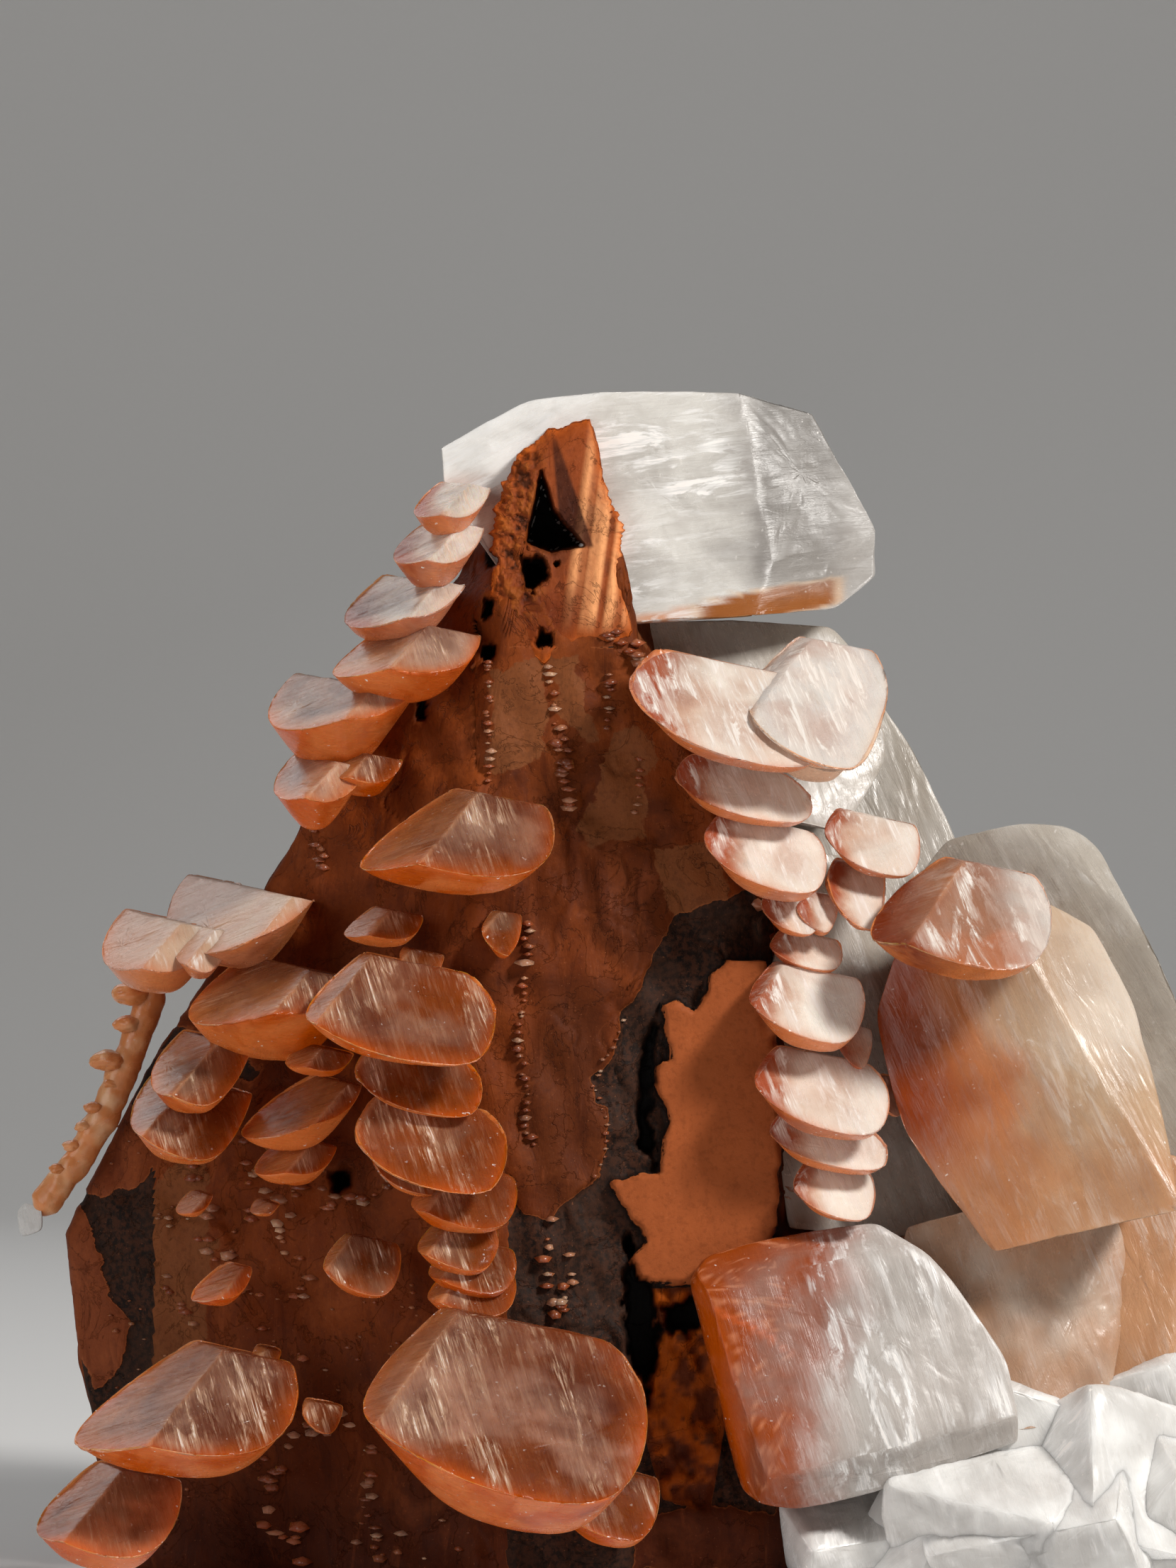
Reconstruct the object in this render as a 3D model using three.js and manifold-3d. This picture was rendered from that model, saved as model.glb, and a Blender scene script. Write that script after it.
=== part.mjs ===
import * as THREE from 'three';
import { ConvexGeometry } from 'three/addons/geometries/ConvexGeometry.js';
import { ParametricGeometry } from 'three/addons/geometries/ParametricGeometry.js';
import { mergeVertices } from 'three/addons/utils/BufferGeometryUtils.js';
import Module from 'manifold-3d';

const wasm = await Module();
wasm.setup();

// Driving dimensions in millimetres, angles in degrees.
// Places are written as seen from the front: x to the right and z up in the upright plane
// through the wall's front edge, then y as the true depth of the point behind that plane.
const SEEN_FROM = new THREE.Vector3(0, -360, 44);
// Middle of the cluster in plan, which becomes the origin.
const MIDDLE = [3.475, 11.795];
const GAP = 0.3;
const CRUMB = 2;
const ROOM = [200, 200, 120];

// All crystals stand parallel: their long axis leans forward, three cap faces meet at the top.
const LEAN = 24;
const CAP_RIDGE = 27;
const CAP_SLOPE = 26.25;
const RIM_TILT = 30;
const RIM_SHARE = 0.15;
const UNDER_TURN = 12;

const DEG = Math.PI / 180;
const THIRD = 120;
const CAP_TURNS = [60, -60, 180];

function seen([x, z, y]) {
  const ahead = new THREE.Vector3(x, 0, z).sub(SEEN_FROM);
  return ahead.multiplyScalar(1 - y / SEEN_FROM.y).add(SEEN_FROM);
}

function axes(lean = LEAN, roll = 0) {
  const turn = new THREE.Matrix4().makeRotationY(roll * DEG)
    .multiply(new THREE.Matrix4().makeRotationX(lean * DEG));
  const up = new THREE.Vector3(0, 0, 1).applyMatrix4(turn);
  const front = new THREE.Vector3(0, -1, 0).applyMatrix4(turn);
  const left = new THREE.Vector3(-1, 0, 0).applyMatrix4(turn);
  return { up, front, left };
}

function halfSpace(normal, point) {
  const n = normal.clone().normalize();
  return { n, d: n.dot(point) };
}

// Flat crystal: three cap faces through the apex, a rim that leans inwards below, three
// under faces. Its reaches to the left, right, front and back are measured from the apex.
function bladePlanes({ at, reach, thick, sides = 12, lean = LEAN, roll = 0 }) {
  const { up, front, left } = axes(lean, roll);
  const apex = seen(at);
  const [toLeft, toRight, toFront, toBack] = reach;
  const slope = CAP_SLOPE * DEG;
  const out = (turn) => front.clone().multiplyScalar(Math.cos(turn * DEG))
    .addScaledVector(left, Math.sin(turn * DEG));
  const extent = (turn) => {
    const c = Math.cos(turn * DEG);
    const s = Math.sin(turn * DEG);
    const middle = (toFront - toBack) * c + (toLeft - toRight) * s;
    return (middle + Math.hypot((toFront + toBack) * c, (toLeft + toRight) * s)) / 2;
  };
  const below = (turn, drop) => apex.clone()
    .addScaledVector(out(turn), extent(turn))
    .addScaledVector(up, -drop);
  const mixed = (turn, rise, spread) => up.clone().multiplyScalar(rise)
    .addScaledVector(out(turn), spread);
  const planes = CAP_TURNS.map((turn) => halfSpace(
    mixed(CAP_RIDGE + turn, Math.cos(slope), Math.sin(slope)), apex));
  for (let turn = UNDER_TURN; turn < 3 * THIRD; turn += THIRD) {
    const drop = Math.tan(slope) * extent(turn) / 2 + thick;
    planes.push(halfSpace(mixed(turn, -Math.cos(slope), Math.sin(slope)), below(turn, drop)));
  }
  for (let i = 0; i < sides; i++) {
    const turn = 360 * (i + 0.35) / sides;
    const facing = Math.max(...CAP_TURNS.map((t) => Math.cos((turn - CAP_RIDGE - t) * DEG)));
    const drop = Math.tan(slope) * facing * extent(turn) + RIM_SHARE * thick;
    const rim = mixed(turn, -Math.sin(RIM_TILT * DEG), Math.cos(RIM_TILT * DEG));
    planes.push(halfSpace(rim, below(turn, drop)));
  }
  return planes;
}

// Block crystal: its outline as seen from the front, each edge with the angle at which its
// side narrows to the rear, then front faces through three points each, and a rear face.
function blockPlanes({ outline, depth, faces, rear, narrow = 12 }) {
  const corners = outline.map(([x, z]) => seen([x, z, depth]));
  const middle = corners.reduce((sum, p) => sum.add(p), new THREE.Vector3())
    .divideScalar(corners.length);
  const planes = outline.map(([x, z, angle = narrow], i) => {
    const along = corners[(i + 1) % corners.length].clone().sub(corners[i]);
    const away = seen([x, z, depth + 1]).sub(corners[i]);
    const side = along.cross(away).normalize();
    if (side.dot(corners[i]) < side.dot(middle)) side.negate();
    side.multiplyScalar(Math.cos(angle * DEG));
    side.y += Math.sin(angle * DEG);
    return halfSpace(side, corners[i]);
  });
  for (const face of faces) {
    const [a, b, c] = face.map(seen);
    const normal = b.clone().sub(a).cross(c.clone().sub(a));
    if (normal.y > 0) normal.negate();
    planes.push(halfSpace(normal, a));
  }
  const [x, z] = outline[0];
  planes.push(halfSpace(new THREE.Vector3(0, 1, 0), seen([x, z, rear])));
  return planes;
}

// Blades: apex as seen, reach to the left, right, front and back, thickness.
// Stack down the upper left edge.
const UPPER_LEFT_BLADES = [
  { at: [-8.4, 77.2, 3.5], reach: [4, 1.7, 4, 3.5], thick: 1 },
  { at: [-9, 73.9, 3], reach: [4.8, 1.8, 4.6, 4], thick: 1.1 },
  { at: [-10.4, 70.2, 2.5], reach: [7, 1.8, 4.6, 7], thick: 1 },
  { at: [-11.3, 67.2, 1], reach: [7.2, 3.9, 5, 4], thick: 1.8 },
  { at: [-15, 62.4, 1], reach: [7.8, 2.8, 4, 11], thick: 2.2 },
  { at: [-15.5, 58.5, 1.5], reach: [3.2, 2.6, 3, 3], thick: 1 },
  { at: [-17.6, 57.2, 1], reach: [4.6, 1.6, 4.4, 6], thick: 1 },
];
// Large flat crystal on the upper face.
const GREAT_LEFT_BLADE = [
  { at: [-7.75, 56, -3.5], reach: [9.6, 6.4, 7.9, 2.4], thick: 2.2 },
];
// Grey-white flat crystals at the left shoulder.
const LEFT_SHOULDER_BLADES = [
  { at: [-28.6, 46.8, 4], reach: [6.2, 3, 5.2, 9], thick: 2 },
  { at: [-26.3, 46.3, 2.5], reach: [3, 1.6, 4.5, 4], thick: 1.2 },
  { at: [-20.8, 48.6, 2], reach: [9.6, 2.2, 5, 16], thick: 2 },
];
// Stack down the middle of the left face.
const MIDDLE_LEFT_BLADES = [
  { at: [-13.9, 47.7, -2.5], reach: [3.8, 2.6, 3, 2], thick: 1 },
  { at: [-12.5, 44.9, -3.5], reach: [1, 2.6, 2.6, 2], thick: 0.6 },
  { at: [-15.2, 44.6, -5], reach: [5.2, 10, 9.6, 1.6], thick: 1.8 },
  { at: [-19.8, 42.4, -3], reach: [8.9, 2.8, 4.4, 8], thick: 2.8 },
  { at: [-18.7, 38, -3.5], reach: [3, 2.5, 2.4, 3], thick: 0.8 },
  { at: [-14.8, 38.5, -3.5], reach: [2, 8.2, 6.4, 1.2], thick: 1.5 },
  { at: [-14.3, 35, -5], reach: [2.4, 9.6, 8.8, 1.6], thick: 1.6 },
  { at: [-14.2, 31.6, -3.5], reach: [1.2, 5, 4.8, 1.2], thick: 1.4 },
  { at: [-16.9, 34.9, -1.5], reach: [7.6, 0.6, 4.4, 4], thick: 1.3 },
  { at: [-19.5, 31.3, -1], reach: [4.4, 2, 3.2, 3], thick: 1.2 },
];
// Two crystals left of that stack.
const OUTER_LEFT_BLADES = [
  { at: [-25.6, 36.9, 0], reach: [4.5, 1.6, 2.8, 5], thick: 0.9 },
  { at: [-28.7, 34.2, 2], reach: [3, 4.2, 3.6, 6], thick: 0.9 },
];
// Small stack that tapers off below it.
const TAIL_BLADES = [
  { at: [-9, 29.6, -4], reach: [3.8, 4.6, 5.4, 1.6], thick: 1.4 },
  { at: [-9.4, 26, -4.5], reach: [2.9, 3.6, 4.6, 1.4], thick: 1.3 },
  { at: [-8.4, 24.4, -4], reach: [3.2, 3.9, 4.6, 1.4], thick: 1.2 },
  { at: [-8.3, 22.8, -4.5], reach: [3.4, 3.8, 4.6, 1.4], thick: 1.2 },
];
// Small crystal by itself on the upper wall.
const WALL_BLADE = [
  { at: [-6.2, 47.6, -1], reach: [1.4, 1.9, 4.4, 1.2], thick: 1.2 },
];
// Oval crystal on the left face.
const OVAL_BLADE = [
  { at: [-16.6, 24.8, -3.5], reach: [2.2, 4, 5.2, 1.2], thick: 1.4 },
];
// Small orange crystal left of it.
const ORANGE_BLADE = [
  { at: [-24.2, 22.6, 0.5], reach: [4.2, 0.9, 3.4, 2], thick: 1 },
];
// Two very small crystals on the left face.
const SMALL_BLADES = [
  { at: [-26.8, 27.6, 3], reach: [2.5, 0.6, 2, 2], thick: 0.6 },
];
const SMALL_BLADE_RIGHT = [
  { at: [-22.3, 27.1, 1], reach: [1.8, 0.9, 1.4, 2], thick: 0.5 },
];
// Big round crystal low at the front, with the small one grown on it.
const FRONT_BLADES = [
  { at: [-9.2, 19, -9], reach: [5.4, 14, 14.2, 2.2], thick: 4.6 },
  { at: [0.6, 8.6, -5.5], reach: [3, 4.9, 6, 2], thick: 2 },
];
// Flat crystals at the lower left.
const LOWER_LEFT_BLADES = [
  { at: [-25.7, 16.8, -4], reach: [11.6, 6.4, 9, 3], thick: 3 },
  { at: [-22.6, 16.9, -2.5], reach: [1.2, 1.3, 2.4, 2], thick: 0.6 },
  { at: [-19.5, 13.2, -5], reach: [0.8, 2.5, 3, 2], thick: 0.7 },
];
// Crystal at the bottom left.
const BOTTOM_LEFT_BLADE = [
  { at: [-32.8, 8.4, -2], reach: [6.2, 4.8, 7.4, 3], thick: 2.6 },
];
// Upper stack down the right edge.
const UPPER_RIGHT_BLADES = [
  { at: [4.4, 66.3, -1], reach: [2, 12.6, 10, 1.6], thick: 2.2 },
  { at: [12.8, 63.8, 0.5], reach: [2, 5.8, 7, 2], thick: 1.4 },
  { at: [15.8, 66.9, 3], reach: [5, 6.5, 13.2, 2], thick: 1.8 },
  { at: [7.2, 58.6, -1], reach: [1.6, 9.4, 5.6, 1], thick: 1.4 },
  { at: [9.4, 54.3, -1.5], reach: [1.6, 7.6, 6.6, 1.4], thick: 1.6 },
  { at: [17.8, 54.8, 1.5], reach: [1.5, 6.2, 6, 1.6], thick: 1.5 },
  { at: [17.6, 51.3, 1], reach: [1.2, 4, 6.8, 1.6], thick: 1.5 },
  { at: [13.1, 49.2, -1], reach: [1.2, 3.8, 4.2, 1.2], thick: 1.2 },
  { at: [15.6, 49, -0.5], reach: [1.2, 2.4, 4, 1.2], thick: 1.2 },
  { at: [14, 46.3, -0.5], reach: [1.6, 4.4, 3.6, 1.2], thick: 1.2 },
];
// Lower stack down the right edge.
const LOWER_RIGHT_BLADES = [
  { at: [13.8, 43.7, -2.5], reach: [2.8, 6.2, 6.8, 1.8], thick: 1.8 },
  { at: [13.5, 37.9, -3], reach: [2.2, 8.4, 7.2, 1.4], thick: 1.6 },
  { at: [13.8, 33.4, -3], reach: [1.6, 8, 4.6, 1], thick: 1.5 },
  { at: [15.8, 30.1, -2.5], reach: [1.8, 5, 5.2, 1.2], thick: 1.4 },
  { at: [18.3, 39.6, -0.5], reach: [1, 2.1, 4.2, 1], thick: 1 },
  { at: [20.8, 36.1, -0.5], reach: [1, 2.1, 4, 1], thick: 1 },
];
// Cap of the right shoulder.
const SHOULDER_BLADE = [
  { at: [26.6, 51.2, -3], reach: [7.6, 7, 10, 2.2], thick: 2.2 },
];

// Blocks.
const SUMMIT = {
  outline: [
    [-10.4, 77.7, 10], [-10.8, 80.4, 20], [-4.2, 83.9, 20], [1.6, 84.15, 20],
    [10.8, 84.5, 20], [16.2, 83.7, 12], [20.9, 74.6, 8], [20.7, 70.8, 5], [17.4, 68.5, 2],
    [2.6, 67.6, 28],
  ],
  depth: 8.4,
  faces: [
    [[0.2, 83.2, 7.2], [2.6, 67.9, 2.6], [13.2, 72.1, 5]],
    [[0.2, 83.2, 7.2], [-10.8, 80.4, 8.8], [-6.9, 76.4, 5.8]],
    [[10.8, 84.5, 8.68], [13.2, 72.1, 5], [20.9, 74.4, 10]],
    [[13.2, 72.1, 5], [20.9, 74.4, 10], [17.4, 68.5, 7]],
  ],
  rear: 24,
};
const UNDER_SUMMIT = {
  outline: [
    [3.6, 68.2], [13.5, 68.7], [17.75, 68.3], [19.7, 66], [21.6, 61.6], [21.6, 57.8], [18, 53],
    [10, 55], [6, 60],
  ],
  depth: 8,
  faces: [
    [[3.6, 68.2, 7], [8, 58, 3.4], [19, 67, 11]],
    [[17, 68, 10], [10, 56, 3.4], [21.6, 58, 9]],
  ],
  rear: 20,
};
const REAR_RIGHT = {
  outline: [
    [14, 66], [20.3, 63.3], [23, 59.6], [24.4, 56.6], [25.6, 53.5], [28, 46], [28, 38], [18, 36],
    [12, 50],
  ],
  depth: 16,
  faces: [[[16, 64, 17], [25, 54, 14], [18, 40, 9]]],
  rear: 29,
};
const RIGHT_MIDDLE = {
  outline: [
    [14, 52], [19, 52.5], [22.5, 46], [25, 38], [28, 26], [22, 24.5], [14.5, 25.5], [12, 40],
  ],
  depth: 4,
  faces: [
    [[13, 50, 5], [16, 26, 0.5], [23, 38, 4]],
    [[22, 46, 8], [19, 40, 2], [24, 27, 0.5]],
  ],
  rear: 20,
};
const SHOULDER = {
  outline: [
    [20, 40], [21.6, 45.5], [26.4, 51.3], [36.3, 47.1], [39, 41], [40.2, 29.6], [40.1, 27.5],
    [28.8, 24.4], [22.4, 31.8],
  ],
  depth: -1,
  faces: [
    [[32.3, 42.5, -5], [40.1, 29.8, -9], [28.8, 24.4, -7]],
    [[26.6, 51.3, -2.4], [40.1, 29.8, -9], [38.6, 42.5, 0]],
  ],
  rear: 12,
};
const HUMP = {
  outline: [
    [22, 50], [24.6, 53.4], [30.5, 54.5], [34, 54.25], [36.3, 52.8], [38, 50.3], [39.4, 46.5],
    [41.2, 41.5], [43.4, 36], [44, 32], [43, 27.5], [38, 26], [24, 38],
  ],
  depth: 6,
  faces: [
    [[24.6, 53.4, 6.5], [38.6, 42.5, 1.2], [34, 54.2, 9]],
    [[31, 54.4, 8], [40.8, 41, 3], [43, 29, 0.5]],
  ],
  rear: 20,
};
const LOWER_RIGHT = {
  outline: [
    [6.8, 21.4, 0], [8.2, 23.6], [12, 25], [20.5, 26.6], [24.5, 23.5], [29.5, 16], [30.3, 10],
    [18, 6.2], [14.4, 5.9], [10.3, 7.3, 0],
  ],
  depth: -5,
  faces: [
    [[6.8, 21.4, -6], [10.2, 7.4, -8.5], [8.4, 20, -8.2]],
    [[8.2, 23.6, -5], [20.5, 26.6, -2], [10.2, 20.6, -8.4]],
    [[8.4, 20, -8.2], [11.3, 7.5, -12], [24, 20, -6]],
    [[14.4, 5.9, -10], [26, 9.6, -8], [15.5, 9, -12]],
  ],
  rear: 6,
};
const BROW = {
  outline: [
    [22.5, 26.5], [28.8, 26.8], [37, 28.8], [38.5, 22], [36, 12.5], [24, 11], [21.5, 18],
  ],
  depth: 0,
  faces: [
    [[23, 26, -1.5], [30, 27, -2.2], [28, 12, -5.5]],
    [[30, 27, -2.2], [37, 28.5, 0.5], [34, 13, -4.5]],
  ],
  rear: 10,
};
const FAR_RIGHT = {
  outline: [[35, 29.6], [41, 30.6], [46, 28], [47, 14], [36, 10]],
  depth: 2,
  faces: [
    [[36, 28, 1], [42, 30, 1], [40, 12, -4]],
    [[42, 30, 1], [46, 28, 5], [45, 12, 0]],
  ],
  rear: 16,
};
// White crystal at the tip of the rib.
const RIB_TIP = {
  outline: [[-40.7, 26.4], [-39.8, 27.4], [-38.3, 26.6], [-38.4, 24.9], [-40, 24.3]],
  depth: 11,
  faces: [[[-40.7, 26.4, 11], [-38.3, 26.6, 10], [-39.4, 24.4, 9.6]]],
  rear: 13,
};

// Wall of iron-oxide films. Each line is one level: height, then x and y of its five
// corners in plan: far left, inner front ridge, right front edge, rear right, rear left.
const WALL_LEVELS = [
  [0, [-34, 12], [-5, -5], [13, -3], [34, 24], [-20, 34]],
  [12, [-36.5, 12], [-6, -4.5], [13, -2.5], [31, 24], [-22, 34]],
  [24, [-38, 13], [-8, -3], [13, -1.5], [27, 22], [-22, 32]],
  [36, [-32, 13], [-11, -1.5], [12, -0.5], [23, 20], [-19, 29]],
  [48, [-24, 11], [-10, -0.5], [11, 0.2], [18, 18], [-13, 26]],
  [58, [-18, 9], [-7.5, 0.3], [8.5, 0.8], [13.5, 16.5], [-9, 23]],
  [66, [-12.5, 7.5], [-6, 0.9], [3.6, 1.3], [6.5, 16], [-6, 21]],
  [75, [-7.2, 7.6], [-4.5, 3.2], [2, 3.3], [3.5, 14], [-3, 18]],
  [79, [-5.2, 7.4], [-3, 4.6], [0.9, 4.7], [3, 12.5], [-2, 15]],
  [82.3, [-1.6, 7.4], [-0.9, 5.8], [0.2, 5.8], [1.2, 9], [-1, 9.5]],
];
// Number of steps along the left face, front, right side, rear and rear left of the wall.
const WALL_STEPS = [9, 7, 7, 6, 5];
const WALL_ROWS = 21;
const LUMP = 0.7;

function wallCorner(index, z) {
  let i = 1;
  while (i < WALL_LEVELS.length - 1 && z > WALL_LEVELS[i][0]) i++;
  const [below, above] = [WALL_LEVELS[i - 1], WALL_LEVELS[i]];
  const t = (z - below[0]) / (above[0] - below[0]);
  const mix = (k) => below[index + 1][k] * (1 - t) + above[index + 1][k] * t;
  return new THREE.Vector2(mix(0), mix(1));
}

function wallRing(step, z) {
  let side = 0;
  let along = step;
  while (along >= WALL_STEPS[side]) {
    along -= WALL_STEPS[side];
    side++;
    if (side === WALL_STEPS.length) return wallRing(0, z);
  }
  const start = wallCorner(side, z);
  const end = wallCorner((side + 1) % WALL_STEPS.length, z);
  const place = start.lerp(end, along / WALL_STEPS[side]);
  // Ledges and lumps on the left face, the rear and the sides; the front stays even.
  const rough = side === 1 ? 0.3 : 1;
  const wave = Math.sin(1.9 * place.x + 0.7 * z) + Math.sin(0.55 * z - 0.8 * place.y)
    + Math.sin(1.3 * z + 0.5 * place.x);
  place.y += LUMP * rough * wave / 2;
  place.x *= 1 + place.y / -SEEN_FROM.y;
  return place;
}

function wallGeometry() {
  const steps = WALL_STEPS.reduce((sum, n) => sum + n, 0);
  const top = WALL_LEVELS[WALL_LEVELS.length - 1][0];
  const centre = (z) => wallRing(0, z).lerp(wallRing(WALL_STEPS[0] + WALL_STEPS[1], z), 0.5);
  return new ParametricGeometry((u, v, target) => {
    const row = Math.round(v * (WALL_ROWS + 2)) - 1;
    const z = top * THREE.MathUtils.clamp(row / WALL_ROWS, 0, 1);
    const pole = row < 0 || row > WALL_ROWS;
    const place = pole ? centre(z) : wallRing(Math.round(u * steps) % steps, z);
    target.set(place.x, place.y, z);
  }, steps, WALL_ROWS + 2);
}

// Cave under the summit, which reaches into its crystal, and pits in the wall: outline as
// seen from the front, depth of the mouth and of the bottom.
const CAVE = { outline: [[-3.2, 78.2], [-0.3, 73], [-4.3, 73.7]], mouth: -1, bottom: 9 };
const PITS = [
  { outline: [[-3, 72.5], [-2.3, 71.6], [-3.5, 69.1], [-4.3, 69.6]], mouth: -1, bottom: 5 },
  { outline: [[-3.3, 67], [-2.5, 66.9], [-2.6, 66.1], [-3.4, 66.2]], mouth: -1, bottom: 3 },
  { outline: [[5, 19.6], [8.6, 20.6], [9.4, 18.2], [6, 17.6]], mouth: -8, bottom: 1 },
  { outline: [[2.9, 24.5], [2.3, 19], [3.9, 13], [5.2, 18]], mouth: -8, bottom: 0.5 },
  { outline: [[-18.4, 28.8], [-17, 29.6], [-16.6, 28], [-17.8, 27.6]], mouth: -4, bottom: 6 },
  { outline: [[3.6, 36.6], [5, 40.6], [4.4, 33], [4.8, 29.4], [3.4, 31]], mouth: -3, bottom: 0.8 },
];
const PIT_NARROWING = 0.55;

// Films that lie proud on the front, as seen: outline, then height and depth of the front
// at two levels. SHEET_ROOT is how far they reach in.
const SHEET_ROOT = 4;
const ORANGE_SHEET_FRONT = [[20, -3], [44, -1.2]];
const ORANGE_SHEET = [
  [10, 44], [8.7, 43], [8.6, 41.7], [7.5, 40.4], [6.2, 41], [5.1, 40.7], [5.8, 36.9], [4.5, 36.6],
  [4.7, 35.2], [5.6, 33.3], [5.6, 32.1], [5.1, 29], [1.6, 28.3], [2.9, 25.8], [4.1, 24.1],
  [2.8, 22.7], [3.2, 21.4], [9.5, 20.8], [13, 24], [13.5, 34], [12.5, 44],
];
const SUMMIT_FILM_FRONT = [[66, 0.8], [82.3, 5.4]];
const SUMMIT_FILM = [
  [-0.2, 82.2], [-3.1, 81.1], [-5, 79.5], [-5.9, 77.5], [-6.6, 75.2], [-6.8, 72.9], [-6.8, 68],
  [-3.2, 65], [-0.3, 66.2], [1.5, 65.6], [3.2, 67], [2.3, 71], [2.4, 74.6], [1.1, 77.3],
  [0.8, 79.8], [0.15, 82.2],
];

function pitGeometry({ outline, mouth, bottom }) {
  const middle = outline.reduce(([a, b], [x, z]) => [a + x, b + z], [0, 0])
    .map((sum) => sum / outline.length);
  const narrowed = ([x, z]) => [0, 1].map((k) => THREE.MathUtils.lerp(
    [x, z][k], middle[k], PIT_NARROWING));
  return new ConvexGeometry([
    ...outline.map(([x, z]) => seen([x, z, mouth])),
    ...outline.map((point) => seen([...narrowed(point), bottom])),
  ]);
}

function sheetGeometry(outline, [[low, depthLow], [high, depthHigh]]) {
  const shape = new THREE.Shape(outline.map(([x, z]) => new THREE.Vector2(x, z)));
  const sheet = new THREE.ExtrudeGeometry(shape, { depth: 1, bevelEnabled: false });
  const places = sheet.attributes.position;
  for (let i = 0; i < places.count; i++) {
    const [x, z, isRear] = [places.getX(i), places.getY(i), places.getZ(i) < 0.5];
    const front = THREE.MathUtils.mapLinear(z, low, high, depthLow, depthHigh);
    places.setXYZ(i, ...seen([x, z, isRear ? front + SHEET_ROOT : front]).toArray());
  }
  return sheet;
}

// Rib at the far left: points down its length as seen, its radius, and its knobs.
const RIB_LINE = [
  [-30.6, 43.6], [-31.9, 39.6], [-33, 35.9], [-34.2, 33], [-35.9, 30.2], [-37.9, 27.6],
];
const RIB_DEPTH = 11;
const KNOB_DEPTH = 10.4;
const RIB_RADIUS = 1.25;
const RIB_KNOBS = [
  [-31.6, 42.2, 1.1], [-32.4, 38.6, 1.2], [-29.9, 40.2, 1], [-33.9, 37, 1.1], [-30.8, 37.4, 1.1],
  [-34.6, 34.6, 1], [-32.2, 33.4, 1.1],
];

function ballPoints([x, z], radius, depth) {
  const ball = new THREE.IcosahedronGeometry(radius, 0);
  const centre = seen([x, z, depth]);
  const places = ball.attributes.position;
  return Array.from({ length: places.count }, (_, i) => new THREE.Vector3()
    .fromBufferAttribute(places, i).add(centre));
}

function ribParts(grow) {
  const parts = RIB_LINE.slice(1).map((point, i) => new ConvexGeometry([
    ...ballPoints(RIB_LINE[i], RIB_RADIUS + grow, RIB_DEPTH),
    ...ballPoints(point, RIB_RADIUS + grow, RIB_DEPTH),
  ]));
  for (const [x, z, radius] of RIB_KNOBS) {
    parts.push(new ConvexGeometry(ballPoints([x, z], radius + grow, KNOB_DEPTH)));
  }
  return parts;
}

// Jumbled crystals around the foot: centre, edge lengths, turns about z, x and y.
const FOOT_BLOCKS = [
  { centre: [20, 0, 3], size: [15, 12, 9], turns: [20, 24, -8] },
  { centre: [28, -4, 5], size: [12, 11, 9], turns: [-25, 30, 12] },
  { centre: [36.5, -2, 6.5], size: [13, 12, 12], turns: [35, -20, 15] },
  { centre: [39.5, 4, 8], size: [11, 13, 15], turns: [-15, 12, -20] },
  { centre: [33, 8, 7], size: [18, 16, 14], turns: [10, 14, 10] },
  { centre: [34, 19, 9], size: [15, 13, 17], turns: [-30, 12, -14] },
  { centre: [24, 28, 6], size: [18, 12, 14], turns: [22, -16, 8] },
];
const REAR_FOOT_BLOCKS = [
  { centre: [-6, 33, 5], size: [20, 11, 12], turns: [12, 14, -6] },
  { centre: [6, 33, 4], size: [14, 12, 11], turns: [-24, 20, 14] },
  { centre: [-20, 30, 5], size: [15, 12, 12], turns: [28, -12, 12] },
];

function boxPart({ centre, size, turns }) {
  const [about, lean, roll] = turns.map((turn) => turn * DEG);
  return new THREE.BoxGeometry(...size)
    .applyMatrix4(new THREE.Matrix4().makeRotationFromEuler(
      new THREE.Euler(lean, roll, about, 'ZXY')))
    .translate(...centre);
}

// Guessed crystals on the back of the wall.
const BACK_UPPER_BLADES = [
  { at: [3, 63, 20], reach: [10, 7, 6, 8], thick: 3 },
  { at: [-4, 52, 25], reach: [9, 9, 6, 8], thick: 3 },
];
const BACK_LOWER_BLADES = [
  { at: [6, 40, 26], reach: [9, 11, 7, 8], thick: 4 },
  { at: [-10, 33, 31], reach: [12, 9, 7, 8], thick: 4 },
];

function cornersOf(planes, grow = 0) {
  const found = [];
  const cross = (a, b) => a.n.clone().cross(b.n);
  for (let i = 0; i < planes.length; i++) {
    for (let j = i + 1; j < planes.length; j++) {
      for (let k = j + 1; k < planes.length; k++) {
        const [a, b, c] = [planes[i], planes[j], planes[k]];
        const det = a.n.dot(cross(b, c));
        if (Math.abs(det) < 1e-5) continue;
        const point = cross(b, c).multiplyScalar((a.d + grow) / det)
          .addScaledVector(cross(c, a), (b.d + grow) / det)
          .addScaledVector(cross(a, b), (c.d + grow) / det);
        if (planes.some((plane) => plane.n.dot(point) > plane.d + grow + 1e-5)) continue;
        if (!found.some((other) => other.distanceTo(point) < 0.02)) found.push(point);
      }
    }
  }
  return found;
}

function toSolid(geometry) {
  geometry.deleteAttribute('normal');
  geometry.deleteAttribute('uv');
  const joined = mergeVertices(geometry, 1e-4);
  return new wasm.Manifold(new wasm.Mesh({
    numProp: 3,
    vertProperties: Float32Array.from(joined.attributes.position.array),
    triVerts: Uint32Array.from(joined.index.array),
  }));
}

function crystal(planes, grow = 0) {
  return toSolid(new ConvexGeometry(cornersOf(planes, grow)));
}

const joined = (solids) => solids.reduce((sum, solid) => sum.add(solid));

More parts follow.
